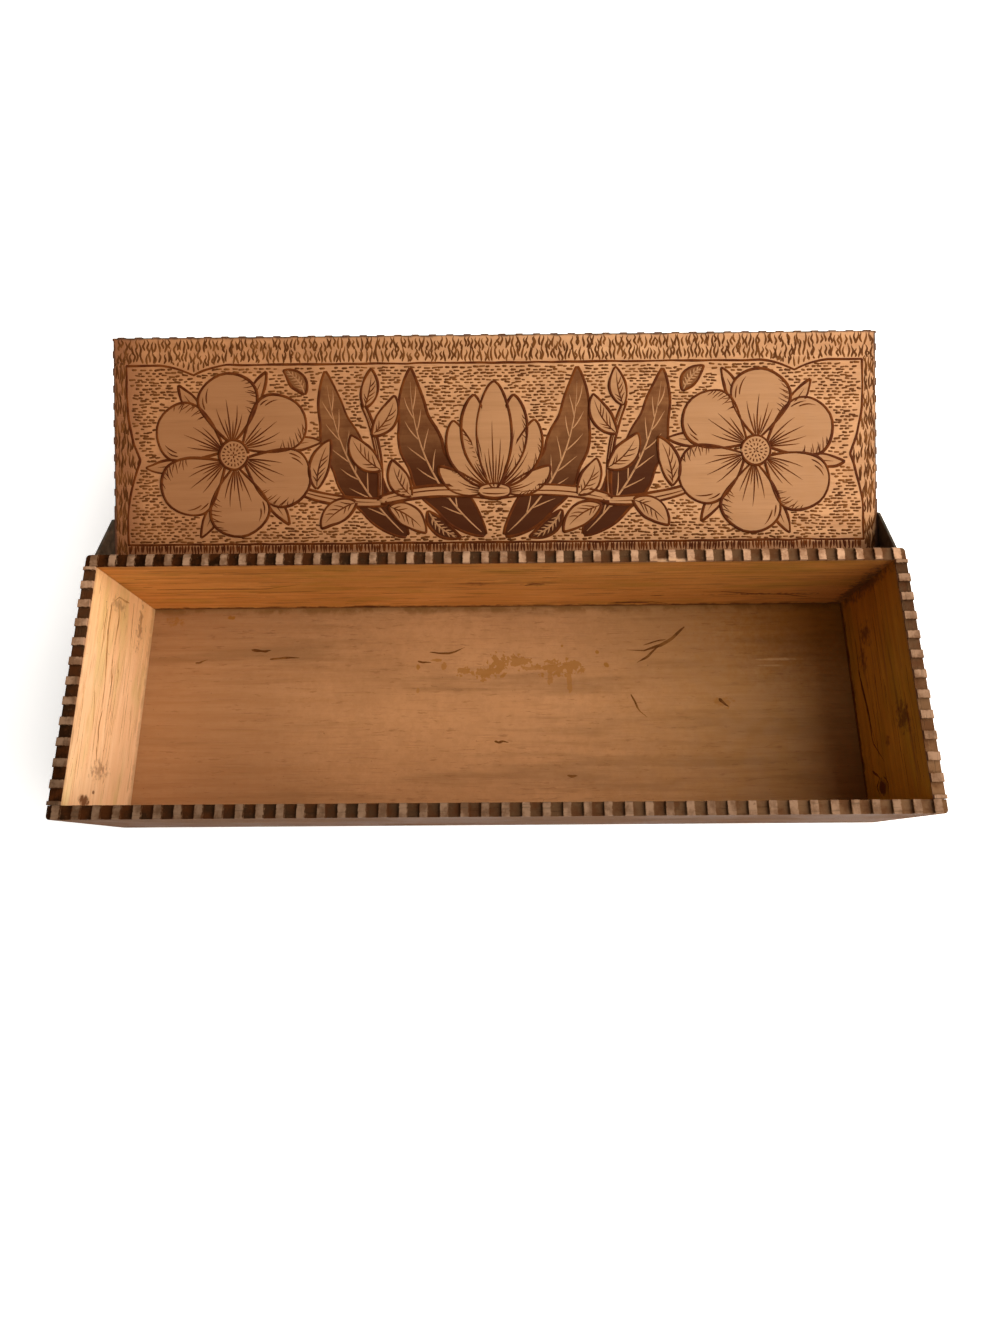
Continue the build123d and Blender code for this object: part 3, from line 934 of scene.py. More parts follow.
print({name: len(lines) for name, (lines, widths, lifts) in layers.items()})

# %% Make the fields and their outlines
LINE_STANDS = 0.03 * MM
fields, outlines = {}, []
for name, (lines, widths, lifts) in layers.items():
    fields[name] = carry(lines, widths, lifts[:, None], FIELD_SECTION, tip=0.2)
    rings = shaky(rim_of(lines, widths), 0.08 * MM)
    halves = uneven(rings.shape[:2], 0.44 * MM, 0.84 * MM)
    outlines.append(carry(rings, halves, lifts[:, None] + LINE_STANDS, LINE_SECTION))
print("fields", sum(triangles(field) for field in fields.values()), "triangles")

# %% [markdown]
# ## Veins and shading strokes
# The burner shaded each petal with a few strokes that start together at its root and spread, and gave each
# leaf a middle vein with short side strokes. On a blade these are easy to place: a stroke keeps to one
# share of the width while it runs from one share of the length to another.

# %% Draw the veins
def strokes_on(shape, shares, start, stop, ends=None, count=14, ragged=0.0):
    """Paths on blades, from start to stop of the length: each keeps to its share of the width (-1 to 1), or
    drifts from it to its share in ends."""
    lines, widths = shape
    _, normal = path_normals(lines)
    shares = np.asarray(shares, float)
    ends = shares if ends is None else np.asarray(ends, float)
    at_start, at_stop = (
        np.broadcast_to(end, shares.shape) + random.uniform(-ragged, ragged, (len(lines), len(shares)))
        for end in (start, stop)
    )
    run = np.linspace(0, 1, count)
    s = np.clip(at_start[..., None] + (at_stop - at_start)[..., None] * run, 0.01, 0.98) * (BLADE_POINTS - 1)
    low = np.minimum(s.astype(int), BLADE_POINTS - 2)
    part = (s - low)[..., None]
    row = np.arange(len(lines))[:, None, None]
    middle = lines[row, low] * (1 - part) + lines[row, low + 1] * part
    reach = widths[row, low] * (1 - part[..., 0]) + widths[row, low + 1] * part[..., 0]
    aside = shares[:, None] + (ends - shares)[:, None] * run
    return (middle + normal[row, low] * (reach * aside)[..., None]).reshape(-1, count, 2)


def tapered(count, half):
    """Half widths that start and end fine and are fullest a third of the way."""
    s = np.linspace(0.02, 0.98, count)
    return half * np.sin(math.pi * s ** 0.65) ** 0.7


VEINS = (
    ("petals", 0.42, (-0.5, -0.3, -0.12, 0.06, 0.24, 0.45), 0.04, (0.42, 0.55, 0.34, 0.62, 0.36, 0.50)),
    ("petals", 0.40, (0.72, 0.84), (0.62, 0.55), (0.84, 0.74)),
    ("petals", 0.27, (-0.97,) * 10, np.linspace(0.40, 0.84, 10), np.linspace(0.48, 0.86, 10),
     (-0.66, -0.58, -0.72, -0.60, -0.76, -0.62, -0.72, -0.60, -0.76, -0.70)),
    ("bud", 0.27, (-0.95,) * 8, np.linspace(0.26, 0.74, 8), np.linspace(0.34, 0.80, 8),
     (-0.56, -0.66, -0.54, -0.70, -0.58, -0.68, -0.60, -0.66)),
    ("leaves", 0.42, (0.0,), 0.03, 0.86),
    ("leaves", 0.34, (-0.05,) * 4, (0.14, 0.28, 0.42, 0.56), (0.34, 0.48, 0.62, 0.74), (-0.7,) * 4),
    ("leaves", 0.34, (0.05,) * 2, (0.12, 0.22), (0.26, 0.36), (0.6,) * 2),
    ("bud", 0.40, (-0.4, -0.1, 0.2, 0.5), 0.04, (0.34, 0.60, 0.42, 0.30)),
    ("bud_middle", 0.40, (-0.6, -0.35, -0.12, 0.12, 0.35, 0.6), 0.03, (0.34, 0.46, 0.30, 0.62, 0.40, 0.34)),
    ("stems", 0.40, (0.1,), 0.05, 0.94),
    ("collar", 0.40, (-0.4, 0.4), 0.12, 0.88),
    ("sepals", 0.36, (0.0,), 0.05, 0.7),
)
veins = []
for name, half, shares, start, stop, *ends in VEINS:
    lines, widths, lifts = layers[name]
    paths = shaky(strokes_on((lines, widths), shares, start, stop, *ends, ragged=0.03), 0.07 * MM, 4)
    tops = np.repeat(lifts, len(shares))[:, None] + LINE_STANDS
    veins.append(carry(paths, tapered(paths.shape[1], half * MM), tops, LINE_SECTION))
print("vein strokes", sum(triangles(vein) for vein in veins), "triangles")

# %% Dot the roses' hearts and bare the ribs of the dark leaves
STAMEN_RINGS = ((0.3, 4), (2.0, 11), (3.9, 19))
STAMEN = 1.1


def stamens(centre):
    """Short dots in rings about centre. A dot runs from its ring's radius outward by STAMEN, all in mm."""
    dots = []
    for radius, many in STAMEN_RINGS:
        a = np.linspace(0, 2 * math.pi, many, endpoint=False) + random.uniform(0, 1)
        outward = np.stack([np.cos(a), np.sin(a)], -1)
        reaches = (radius, radius + STAMEN / 2, radius + STAMEN)
        dots.append(np.stack([centre + reach * outward for reach in reaches], axis=1))
    return np.concatenate(dots) * MM


dots = np.concatenate([stamens((s * ROSE[0], ROSE[1])) for s in (-1, 1)])
veins.append(carry(dots, 0.34 * MM, 0.45 * MM, LINE_SECTION))

dark_lines, dark_widths, _ = layers["dark_leaves"]
rib_starts = np.linspace(0.14, 0.74, 6)
ribs = []
for shares, start, stop, ends, half in (
    ((0.0,), 0.03, 0.93, None, 0.50),
    ((0.0,) * 6, rib_starts, rib_starts + 0.12, (0.62,) * 6, 0.34),
    ((0.0,) * 6, rib_starts + 0.05, rib_starts + 0.17, (-0.62,) * 6, 0.34),
):
    paths = shaky(strokes_on((dark_lines, dark_widths), shares, start, stop, ends, ragged=0.01), 0.07 * MM, 4)
    ribs.append(carry(paths, tapered(paths.shape[1], half * MM), 0.08 * MM, LINE_SECTION))
print("dots", len(dots), "and bare ribs", sum(len(rib[2]) // (2 * len(LINE_SECTION)) for rib in ribs))

# %% [markdown]
# ## The dotted ground
# Between the shapes the ground is filled with short burned dashes in close rows, set by hand. A texture
# could fake them, yet they are the surface that the eye sees first. So each dash is a small solid of its
# own: a grid of rows is laid out, every dash is shifted, tilted and sized at random, and those that would
# fall on a shape of the design are left out.

# %% Find what the design covers
def covered(points, outline, margin):
    """True where a point lies inside a closed outline, or within margin of its corners: a crossing count."""
    low, high = outline.min(0) - margin, outline.max(0) + margin
    near = ((points > low) & (points < high)).all(-1)
    result = np.zeros(len(points), bool)
    p = points[near]
    if not len(p):
        return result
    a, b = outline, np.roll(outline, -1, axis=0)
    crosses = (a[:, 1] > p[:, None, 1]) != (b[:, 1] > p[:, None, 1])
    rise = np.where(b[:, 1] == a[:, 1], 1e-12, b[:, 1] - a[:, 1])
    at = a[:, 0] + (p[:, None, 1] - a[:, 1]) / rise * (b[:, 0] - a[:, 0])
    inside = (crosses & (p[:, None, 0] < at)).sum(1) % 2 == 1
    close = np.linalg.norm(p[:, None] - a, axis=-1).min(1) < margin
    result[near] = inside | close
    return result


rose_heart = rim_of(*layers["hearts"][:2])[0]
print("the middle of a rose is covered:", covered(np.array([ROSE]) * MM, rose_heart, 1 * MM)[0])

# %% Lay out the ground dashes
DASH_STEP, DASH_ROW = 3.00 * MM, 1.36 * MM

rows = np.arange(BOTTOM_LINE + 1.2 * MM, TOP_LINE - 0.8 * MM, DASH_ROW)
steps = np.arange(-SIDE_LINE, SIDE_LINE, DASH_STEP)
grid_v, grid_u = np.meshgrid(rows, steps, indexing="ij")
odd_row = (np.arange(len(rows)) % 2)[:, None]
grid_u = grid_u + odd_row * DASH_STEP / 2 + random.normal(0, 0.42 * MM, grid_u.shape)
grid_v = grid_v + random.normal(0, 0.17 * MM, grid_v.shape)
middles = np.stack([grid_u.ravel(), grid_v.ravel()], -1)
half_long = random.uniform(0.65, 1.65, len(middles)) * MM
tilt = random.normal(0, 0.10, len(middles))
reach = np.stack([np.cos(tilt), np.sin(tilt)], -1) * half_long[:, None]
keep = (np.abs(middles[:, 0]) + half_long < side_line(middles[:, 1]) - 0.7 * MM)
keep &= middles[:, 1] < top_line(middles[:, 0]) - 0.8 * MM
keep &= random.random(len(middles)) > 0.05
for lines, widths, _ in layers.values():
    for outline in rim_of(lines, widths):
        for share in (-0.8, 0, 0.8):
            keep &= ~covered(middles + reach * share, outline, 0.75 * MM)
middles, reach = middles[keep], reach[keep]
dash_paths = np.stack([middles - reach * 0.75, middles + reach * 0.75], axis=1)
dash_halves = random.uniform(0.38, 0.62, len(middles))[:, None] * MM * np.array([[1.0, 0.85]])
dashes = carry(dash_paths, dash_halves, 0.05 * MM, LINE_SECTION, tip=0.9)
print("ground dashes", len(middles), "with", triangles(dashes), "triangles")

# %% [markdown]
# ## The squiggled borders
# Outside the line, the far border is packed with short wavy strokes that stand on end, and the two end
# borders with longer ones. The strip along the hinge has combs of short strokes that hang from the line.
# All are the same stroke: a wave along v, with its length, its waves and its lean drawn at random for each
# one.

# %% Draw the squiggles
STROKE_LIMIT = LID_HALF - 1.0 * MM


def squiggles(u, v, length, waves, swing, count):
    """u = start + swing * sin(2 pi waves s + phase) + lean * s, v = start + length * s, with a row of values
    for each stroke. u is held back from the lid's ends, so that no stroke hangs over a notch."""
    s = np.linspace(0, 1, count)[None]
    u, v, length, waves, swing = (np.broadcast_to(a, u.shape)[:, None] for a in (u, v, length, waves, swing))
    phase = random.uniform(0, 2 * math.pi, u.shape)
    lean = random.normal(0, 0.25 * MM, u.shape)
    u = u + swing * np.sin(2 * math.pi * waves * s + phase) + lean * s
    return np.stack([np.clip(u, -STROKE_LIMIT, STROKE_LIMIT), v + length * s], -1)


edge_strokes = []
for row, low in enumerate((92.0, 97.2)):
    u = np.arange(-163.6 * MM, 163.8 * MM, 1.6 * MM) + row * 0.8 * MM
    u = u + random.normal(0, 0.30 * MM, u.shape)
    v = random.normal(low, 0.8, u.shape) * MM
    v = np.maximum(v, top_line(u) + 0.7 * MM)
    length = np.minimum(random.uniform(3.8, 6.8, u.shape) * MM, 102.6 * MM - v)
    edge_strokes.append(squiggles(u, v, length, random.uniform(0.6, 1.6, u.shape), 0.34 * MM, 15))
far_border = np.concatenate(edge_strokes)
dip_u = np.concatenate([np.arange(-9, 9.1, 2.2) * MM + s * DIP_AT for s in (-1, 1)])
dip_v = top_line(dip_u) + 1.2 * MM
dip_strokes = squiggles(dip_u, dip_v, np.maximum(92.6 * MM - dip_v, 0.8 * MM), 0.6, 0.2 * MM, 9)
print("far border has", len(far_border), "strokes, the dips", len(dip_strokes))

# %% Draw the strokes at both ends
SWELL_STROKES = SWELL_AT + SWELL_REACH * 0.7 * np.linspace(-1, 1, 6)[:-1]

end_strokes = []
for side in (-1, 1):
    for column in np.arange(160.1, 164.7, 0.92):
        v = np.arange(3.0, 92.0, 7.4) * MM
        v = np.maximum(v + random.normal(0, 1.3 * MM, v.shape), 1.1 * MM)
        u = np.full(v.shape, side * column * MM) + random.normal(0, 0.12 * MM, v.shape)
        length = np.minimum(random.uniform(4.5, 9.0, v.shape) * MM, 92.5 * MM - v)
        end_strokes.append(squiggles(u, v, length, random.uniform(0.8, 1.8, v.shape), 0.20 * MM, 13))
for side in (-1, 1):
    for inset in (0.9, 1.8, 2.7, 3.6, 4.5):
        v = SWELL_STROKES + random.normal(0, 1 * MM, 5)
        u = side_line(v + 3 * MM) + inset * MM
        fits = u < 160.0 * MM
        if fits.any():
            u, v = side * u[fits], v[fits]
            end_strokes.append(squiggles(u, v, random.uniform(4.0, 7.0, u.shape) * MM, 1.0, 0.2 * MM, 13))
end_border = np.concatenate(end_strokes)
print("both ends have", len(end_border), "strokes")

# %% Draw the combs along the hinge
comb_u = np.arange(-159.0 * MM, 159.5 * MM, 1.3 * MM)
comb_u = comb_u + random.normal(0, 0.16 * MM, comb_u.shape)
comb = np.concatenate([
    squiggles(comb_u, random.normal(top, 0.18, comb_u.shape) * MM,
              random.uniform(-4.2, -3.0, comb_u.shape) * MM, 0.4, 0.12 * MM, 7)
    for top in (12.9, 9.3, 5.6)
])
squiggle_shape = gather(*(
    carry(strokes, tapered(strokes.shape[1], half * MM), 0.05 * MM, LINE_SECTION)
    for strokes, half in ((far_border, 0.55), (dip_strokes, 0.50), (end_border, 0.46))
))
comb_shape = carry(comb, tapered(7, 0.56 * MM), 0.05 * MM, LINE_SECTION)
print("squiggles", len(far_border) + len(dip_strokes) + len(end_border), "and comb strokes", len(comb))

# %% [markdown]
# ## Finishes for the lid
# The lid has six finishes: its bare tan wood, darker at the left end and along the hinge, two tones of
# scraped wood for the petals and for the leaves and bared ribs, two browns for the burned lines and the
# lighter singed strokes, and the stain of the dark leaves, which pooled so that it is darkest low down. The
# bare wood, the petals and the leaves also carry painted shade that darkens them towards the left. All
# read the lid's flat map through one Mapping node, so their grain follows the board.

# %% Write the finish of the lid's wood
LID_PITCH, LID_NOTCH = 330.6 * MM / 44, 0.4 * MM
LID_PLAIN_END = 28.9 * MM
LID_END_PITCH = (LID_DEPTH - LID_PLAIN_END) / 10
LID_END_SHIFT = LID_END_PITCH / 2 - LID_DEPTH
LID_PALE, LID_DEEP = (0.63, 0.326, 0.150), (0.51, 0.246, 0.105)
LID_PATCH, LID_GRIME, LEFT_SHADE_BROWN = (0.50, 0.25, 0.12), (0.30, 0.14, 0.06), (0.77, 0.66, 0.58)
END_BROWN, HINGE_BROWN, EDGE_SINGE = (0.225, 0.078, 0.030), (0.21, 0.078, 0.030), (0.07, 0.028, 0.016)


def flat_map(place):
    """Object coordinates turned, then moved, so that x, y and z are u, v and lift."""
    turned_y = NEAR_Y * SLOPE + NEAR_Z * RISE
    turned_z = NEAR_Z * SLOPE - NEAR_Y * RISE
    return move(place, at=(0, -turned_y, -turned_z), turn=(-LEAN, 0, 0))


# Painted shade: the lid darkens towards its left end, away from the light.
take, give = new_group("browner left", {"Colour": (0.5, 0.25, 0.1, 1.0), "Along": 0.0}, ("Colour",))
left_share = fade(take["Along"], -150 * MM, 60 * MM, 1.0, 0.0)
feed(give["Colour"], coats(take["Colour"], (left_share, LEFT_SHADE_BROWN, "MULTIPLY")))


def shade_towards_left(u, colour):
    """Painted shade: the lid is browner and darker towards its left end, away from the light."""
    return use_group("browner left", Colour=colour, Along=u)["Colour"]


lid_wood, shader, place = new_finish("lid_wood", 0.15)
flat = flat_map(place)
u, v, lift = parts(flat)
grain, age = grain_of(flat, 21.0, 0.6), age_of(flat, 23.0)
bare = coats(
    LID_DEEP,
    (grain["Streaks"], LID_PALE),
    (grain["Bands"] * 0.18, LID_DEEP),
    (age["Patches"] * 0.30, LID_PATCH),
    (age["Grime"] * 0.28, LID_GRIME),
)
right_end = fade(u, 158 * MM, 164 * MM, 0.0, 0.05)
at_end = fade(u, -163 * MM, -147 * MM, 0.82, 0.0).work_out("MAXIMUM", right_end)
to_long_edge = v.work_out("MINIMUM", LID_DEPTH - v)
to_end = LID_HALF - abs(u)
rim_band = age["Grime"] * (-0.5 * MM) + to_long_edge.work_out("MINIMUM", to_end)
past_ears = fade(v, LID_PLAIN_END, LID_PLAIN_END + 1 * MM)
notch_reach = LID_NOTCH + 0.15 * MM
colour = coats(
    shade_towards_left(u, bare),
    (at_end, END_BROWN),
    (fade(v, 11.6 * MM, 13.2 * MM, 0.60, 0.0), HINGE_BROWN),
    (fade(lift, -0.6 * MM, -0.2 * MM, 1.0, 0.0), weathered_wood(grain, age)),
    (fade(rim_band, 0.3 * MM, 1.3 * MM, 0.92, 0.0), EDGE_SINGE),
    (scorch_of(flat, u, LID_PITCH, 0.0, to_long_edge, notch_reach), SCORCHED),
    (scorch_of(flat, v, LID_END_PITCH, LID_END_SHIFT, to_end, notch_reach) * past_ears, SCORCHED),
)
height = grain["Streaks"] * 0.6 - grain["Pores"] - age["Grime"]
lay_on(shader, colour, fade(age["Patches"], 0.0, 1.0, 0.5, 0.68), height, 0.08 * MM, 0.8)
dress("lid_board", lid_wood)
print("lid wood has", len(colour.tree.nodes), "nodes")


# %% Write the finishes of the drawing
STAIN_PALE, STAIN_DEEP, STAIN_POOL, STAIN_GRIME = (
    (0.26, 0.105, 0.036), (0.175, 0.060, 0.019), (0.040, 0.0070, 0.0010), (0.060, 0.015, 0.003)
)
SCRAPED_PORE = (0.26, 0.12, 0.05)


def flower_finish(name, pale, deep, seed):
    """Bare scraped wood: fine grain, a few pores, a slow drift of colour."""
    material, shader, place = new_finish(name, 0.15)
    flat = flat_map(place)
    grain, age = grain_of(flat, seed, 0.5), age_of(flat, seed + 1)
    colour = coats(
        deep,
        (grain["Streaks"] * 0.8, pale),
        (age["Patches"] * 0.35, deep),
        (grain["Pores"] * 0.3, SCRAPED_PORE),
    )
    colour = shade_towards_left(parts(flat)[0], colour)
    lay_on(shader, colour, fade(age["Grime"], 0.0, 1.0, 0.48, 0.66), grain["Streaks"], 0.03 * MM, 0.5)
    return material


def drifting_finish(name, specular, place_on, dark, pale, pooled, rough, seed):
    """Charred wood or a dull stain: its tone drifts between two colours and darkens in patches by pooled."""
    material, shader, place = new_finish(name, specular)
    age = age_of(place_on(place), seed)
    colour = coats(dark, (age["Grime"], pale), (age["Patches"] * pooled if pooled else None, dark))
    lay_on(shader, colour, fade(age["Grime"], 0.0, 1.0, *rough))
    return material


def burned_finish(name, dark, pale, seed):
    """Charred wood in the lid's flat map."""
    return drifting_finish(name, 0.08, flat_map, dark, pale, 0.35, (0.62, 0.8), seed)


petal_wood = flower_finish("petal_wood", (0.45, 0.222, 0.096), (0.38, 0.180, 0.074), 31.0)
leaf_wood = flower_finish("leaf_wood", (0.47, 0.232, 0.100), (0.38, 0.180, 0.074), 35.0)
burned_line = burned_finish("burned_line", (0.068, 0.0130, 0.0010), (0.140, 0.035, 0.005), 41.0)
singed_stroke = burned_finish("singed_stroke", (0.090, 0.026, 0.004), (0.190, 0.066, 0.016), 43.0)

dark_stain, shader, place = new_finish("dark_stain", 0.05)
flat = flat_map(place)
u, v, lift = parts(flat)
grain, age = grain_of(flat, 51.0), age_of(flat, 53.0)
colour = coats(
    STAIN_DEEP,
    (grain["Streaks"], STAIN_PALE),
    (fade(v + age["Patches"] * (14 * MM), 40 * MM, 84 * MM, 0.9, 0.15), STAIN_POOL),
    (age["Grime"] * 0.35, STAIN_GRIME),
)
lay_on(shader, colour, fade(age["Grime"], 0.0, 1.0, 0.42, 0.6), grain["Streaks"], 0.03 * MM, 0.5)
print("finishes so far:", len(bpy.data.materials))

# %% Put the drawing on the lid
LEAF_FIELDS = ("sepals", "stems", "leaves", "bud", "bud_middle", "collar")
for name, shape, material in (
    ("lid_border_line", border, burned_line),
    ("lid_ground_dashes", dashes, singed_stroke),
    ("lid_squiggles", squiggle_shape, singed_stroke),
    ("lid_comb_strokes", comb_shape, burned_line),
    ("lid_outlines", gather(*outlines), burned_line),
    ("lid_veins", gather(*veins), burned_line),
    ("lid_dark_leaves", fields["dark_leaves"], dark_stain),
    ("lid_bare_ribs", gather(*ribs), leaf_wood),
    ("lid_petals", gather(fields["petals"], fields["hearts"]), petal_wood),
    ("lid_leaves", gather(*(fields[field] for field in LEAF_FIELDS)), leaf_wood),
):
    make_piece(name, shape, material, "lid")

# %% [markdown]
# ## Scratches and fibres
# A branched scratch and a few short ones mark the floor, and dark fibres and soft old streaks run along the
# walls. They are thin lines through a few measured points, or finer ones strewn at random, so they are
# carried sections again, laid on the floor board and on the inner faces of the walls.

# %% Trace marks and strew fibres
FIBRE_HEIGHTS = (9.0, 71.0)


def through(points, count=16):
    """A path of count points, evenly spread along a broken line given in mm."""
    points = np.array(points, float) * MM
    run = np.concatenate([[0], np.cumsum(np.linalg.norm(np.diff(points, axis=0), axis=1))])
    at = np.linspace(0, run[-1], count)
    return np.stack([np.interp(at, run, points[:, 0]), np.interp(at, run, points[:, 1])], axis=-1)


def marks(traced, lay, unsteady):
    """Lines through given points, each with its own half width in mm, uneven and tapered at both ends."""
    paths = shaky([through(points) for points, _ in traced], unsteady * MM, 4)
    halves = np.array([half for _, half in traced])[:, None] * tapered(16, 1.0) * MM
    halves = halves * uneven(halves.shape, 0.75, 1.65, 3)
    return carry(paths, halves, 0.02 * MM, LINE_SECTION, lay=lay)


def fibres(many, half_run, lay):
    """Fine marks along the grain, strewn at random over a wall out to half_run mm either way."""
    length = random.uniform(3, 26, many)
    start = random.uniform(-half_run, half_run - length)
    v = random.uniform(*FIBRE_HEIGHTS, many)
    run = np.stack([length, random.normal(0, 0.02, many) * length], -1)
    paths = np.stack([start, v], -1)[:, None] + run[:, None] * np.linspace(0, 1, 12)[:, None]
    halves = random.uniform(0.07, 0.24, many)[:, None] * tapered(12, 1.0)
    return carry(shaky(paths, 0.25, 4) * MM, halves * MM, 0.02 * MM, LINE_SECTION, lay=lay)


print("fibres lie between the heights", FIBRE_HEIGHTS, "mm")

# %% Measure the scratches and streaks
FLOOR_SCRATCHES = (
    ([(87.3, 35.4), (81, 30.5), (75.2, 27.0), (68, 24.4), (59.9, 24.8)], 0.60),
    ([(75.2, 27.0), (70, 22.5), (64, 19.5)], 0.50),
    ([(78, 29.4), (72, 28.6), (67.5, 27.2)], 0.34),
    ([(-113.5, 26.2), (-104.3, 25.6)], 0.62),
    ([(-104.0, 22.0), (-98, 22.6), (-90.5, 22.9)], 0.55),
    ([(-31, 24.4), (-22, 24.0), (-14.7, 26.0)], 0.42),
    ([(-36, 20.4), (-30, 19.8)], 0.50),
    ([(60.2, 5.2), (63, -1), (66.3, -5.5)], 0.44),
    ([(100.1, 2.2), (104.3, -1.4)], 0.85),
    ([(-1.5, -15.9), (4.6, -16.1)], 0.60),
    ([(31.0, -30.7), (35.6, -30.9)], 0.50),
    ([(-138.5, 20.2), (-133.5, 21.4)], 0.45),
)
LEFT_STREAKS = (
    ([(36.4, 55.3), (25.8, 55.1), (15.3, 53.0), (1.9, 50.7), (-7.3, 49.1)], 0.62),
    ([(-7.3, 49.1), (-16.0, 50.2), (-23.6, 48.2)], 0.45),
    ([(38.1, 46.7), (28.2, 45.0), (20.2, 45.7)], 0.55),
    ([(40.5, 35.9), (40.1, 47.4), (36.5, 52.8)], 0.40),
    ([(40.6, 21.1), (29.9, 19.7)], 0.60),
    ([(41.6, 31.4), (26.0, 29.4), (13.8, 28.5)], 0.30),
    ([(15.8, 46.4), (-2.2, 43.0)], 0.42),
    ([(19.3, 39.8), (2.9, 37.2)], 0.32),
    ([(-0.9, 59.1), (-16.2, 56.5)], 0.30),
    ([(-21.2, 49.9), (-28.8, 47.9)], 0.40),
    ([(33.0, 59.0), (20.5, 58.0), (9.0, 58.6)], 0.40),
)
RIGHT_STREAKS = (
    ([(-12.4, 17.7), (6.5, 22.6), (19.0, 21.4), (28.2, 31.4)], 0.70),
    ([(-25.7, 18.4), (-3.5, 18.3), (20.8, 25.5)], 0.45),
    ([(30.2, 16.7), (34.5, 24.5)], 0.50),
    ([(-42.1, 6.4), (-23.0, 7.4), (0.3, 7.0), (20.6, 6.6), (40.2, 6.3)], 0.80),
    ([(33.6, 29.0), (37.0, 33.2), (41.0, 31.0)], 0.35),
    ([(33.8, 24.4), (37.5, 19.8), (42.0, 23.0)], 0.35),
)
REAR_STREAKS = (
    ([(-147.6, 39.3), (-122.5, 39.3), (-100.5, 39.7), (-83.3, 46.1)], 0.45),
    ([(-108.5, 33.8), (-92, 34.2), (-76.2, 35.3)], 0.40),
    ([(-156.0, 6.0), (-135, 6.2), (-113.7, 6.0)], 0.55),
    ([(-113, 5.9), (-90, 6.1), (-69.6, 6.4)], 0.35),
    ([(-69.6, 7.0), (-60, 8.3), (-49.6, 8.1)], 0.70),
    ([(-49, 6.4), (-20, 6.2), (10, 6.3), (50, 6.2)], 0.35),
    ([(51.4, 10.2), (62, 11.4), (73.1, 11.0), (82.7, 6.8)], 0.70),
    ([(69.5, 22.0), (76.0, 23.5)], 0.60),
    ([(100.9, 28.3), (115, 25), (131.2, 23.0), (144.4, 16.0)], 0.60),
    ([(82.0, 6.6), (110, 6.4), (150.6, 6.8)], 0.50),
    ([(12.8, 41.3), (17.0, 44.0), (21.3, 43.0)], 0.40),
)
print("traced:", [len(t) for t in (FLOOR_SCRATCHES, LEFT_STREAKS, RIGHT_STREAKS, REAR_STREAKS)])


# %% Lay the marks on the boards
def streak_stain(name, dark, pale, seed):
    """A dull stain in the wood of the box."""
    return drifting_finish(name, 0.05, lambda place: place, dark, pale, None, (0.65, 0.85), seed)


scratch_dirt = streak_stain("scratch_dirt", (0.095, 0.031, 0.005), (0.19, 0.077, 0.019), 61.0)
faint_stain = streak_stain("faint_stain", (0.30, 0.145, 0.045), (0.52, 0.285, 0.105), 62.0)
deep_stain = streak_stain("deep_stain", (0.085, 0.026, 0.003), (0.19, 0.072, 0.012), 63.0)
make_piece("floor_scratches", marks(FLOOR_SCRATCHES, on_floor, 0.28), scratch_dirt, "box")
for name, traced, unsteady, many, half_run, lay, stain, slot in (
    ("left_wall_streaks", LEFT_STREAKS, 0.35, 70, 44, on_left_wall, faint_stain, "end_wood"),
    ("right_wall_streaks", RIGHT_STREAKS, 0.35, 50, 44, on_right_wall, deep_stain, "end_wood"),
    ("rear_wall_streaks", REAR_STREAKS, 0.30, 70, 156, on_rear_wall, deep_stain, "box_wood"),
):
    make_piece(name, gather(marks(traced, lay, unsteady), fibres(many, half_run, lay)), stain, "box")

# %% [markdown]
# ## Ears, nails and brads
# The ears are thin sheet metal, tarnished almost black with brown rust in patches, and the nails and brads
# are dull iron. They share one way of ageing, so one function writes both finishes from a few numbers. The
# ears' edges get a very small bevel, which is all that sheet metal needs to catch the light.

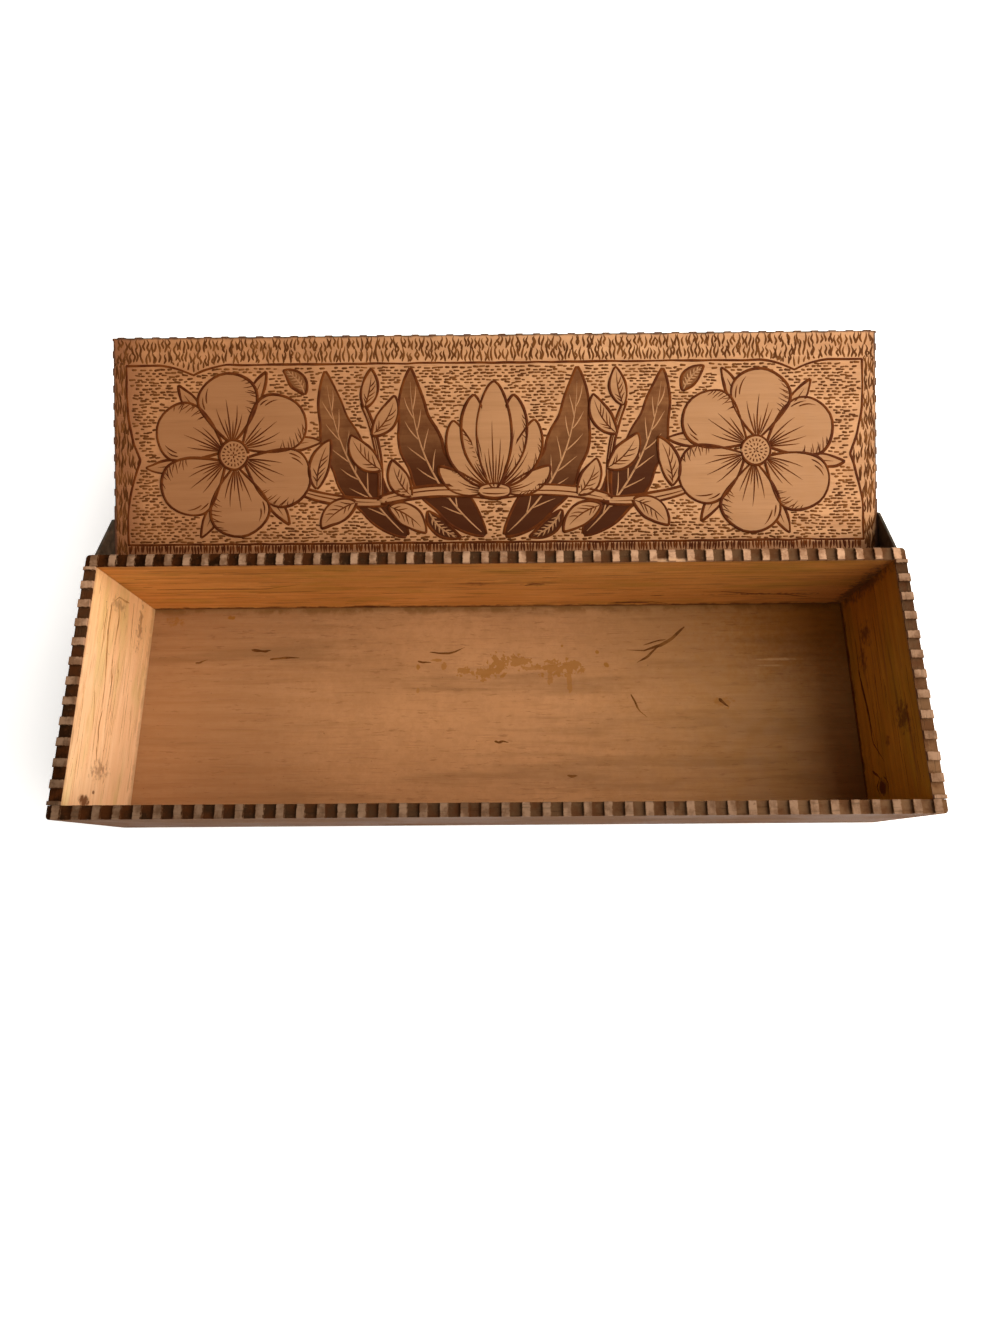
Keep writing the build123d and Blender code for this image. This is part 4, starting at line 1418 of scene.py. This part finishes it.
# %% Write the metal finishes
def old_metal(name, clean, dull, rust, shine, seed):
    """Bare metal under tarnish: metallic falls and roughness rises where the rust is."""
    material, shader, place = new_finish(name, 0.5)
    age, fine = age_of(place, seed), age_of(move(place, scale=(2.7, 2.7, 2.7)), seed + 5)
    rusted = (age["Grime"] * 0.8).work_out("MAXIMUM", fine["Specks"])
    feed(shader.inputs["Metallic"], fade(rusted, 0.0, 1.0, shine, 0.05))
    colour = coats(clean, (fine["Grime"], dull), (rusted, rust))
    lay_on(shader, colour, fade(rusted, 0.0, 1.0, 0.42, 0.8), rusted, 0.05 * MM, 0.7)
    return material


ear_metal = old_metal(
    "ear_metal", (0.070, 0.054, 0.034), (0.040, 0.029, 0.018), (0.070, 0.034, 0.015), 0.6, 71.0
)
nail_iron = old_metal("nail_iron", (0.25, 0.22, 0.19), (0.12, 0.10, 0.085), (0.13, 0.06, 0.03), 0.85, 81.0)
for name in ("left_pivot_ear", "right_pivot_ear"):
    wear_corners(name, 0.15 * MM)
    dress(name, ear_metal)
NAILS = [name for name in sorted(frame["nodes"]) if name.endswith(("_nail", "_brads"))]
for name in NAILS:
    dress(name, nail_iron)
print("iron:", ", ".join(NAILS))

# %% [markdown]
# ## The table
# The box stands on a plain pale surface that reaches past the picture, so that it throws a soft shadow and
# nothing else shows.

# %% Lay the table
TABLE_HALF, TABLE_STEPS = 3.0, 25
grid = np.linspace(-TABLE_HALF, TABLE_HALF, TABLE_STEPS)
table_x, table_y = np.meshgrid(grid, grid, indexing="xy")
points = np.stack([table_x.ravel(), table_y.ravel(), np.full(table_x.size, -0.1 * MM)], axis=-1)
cell = (np.arange(TABLE_STEPS - 1)[:, None] * TABLE_STEPS + np.arange(TABLE_STEPS - 1)).ravel()
quads = np.stack([cell, cell + 1, cell + TABLE_STEPS + 1, cell + TABLE_STEPS], axis=-1)
mesh = bpy.data.meshes.new("table")
mesh.from_pydata(points.tolist(), [], quads.tolist())
pale_table, shader, place = new_finish("pale_table", 0.1)
colour = coats((0.93, 0.92, 0.90), (cloud(place, 2.0, 2.0), (0.96, 0.95, 0.94)))
lay_on(shader, colour, 0.9)
feed(shader.inputs["Emission Color"], colour)
shader.inputs["Emission Strength"].default_value = 0.6
mesh.materials.append(pale_table)
table = bpy.data.objects.new("table", mesh)
bpy.context.scene.collection.objects.link(table)
print("table is", 2 * TABLE_HALF, "m wide")
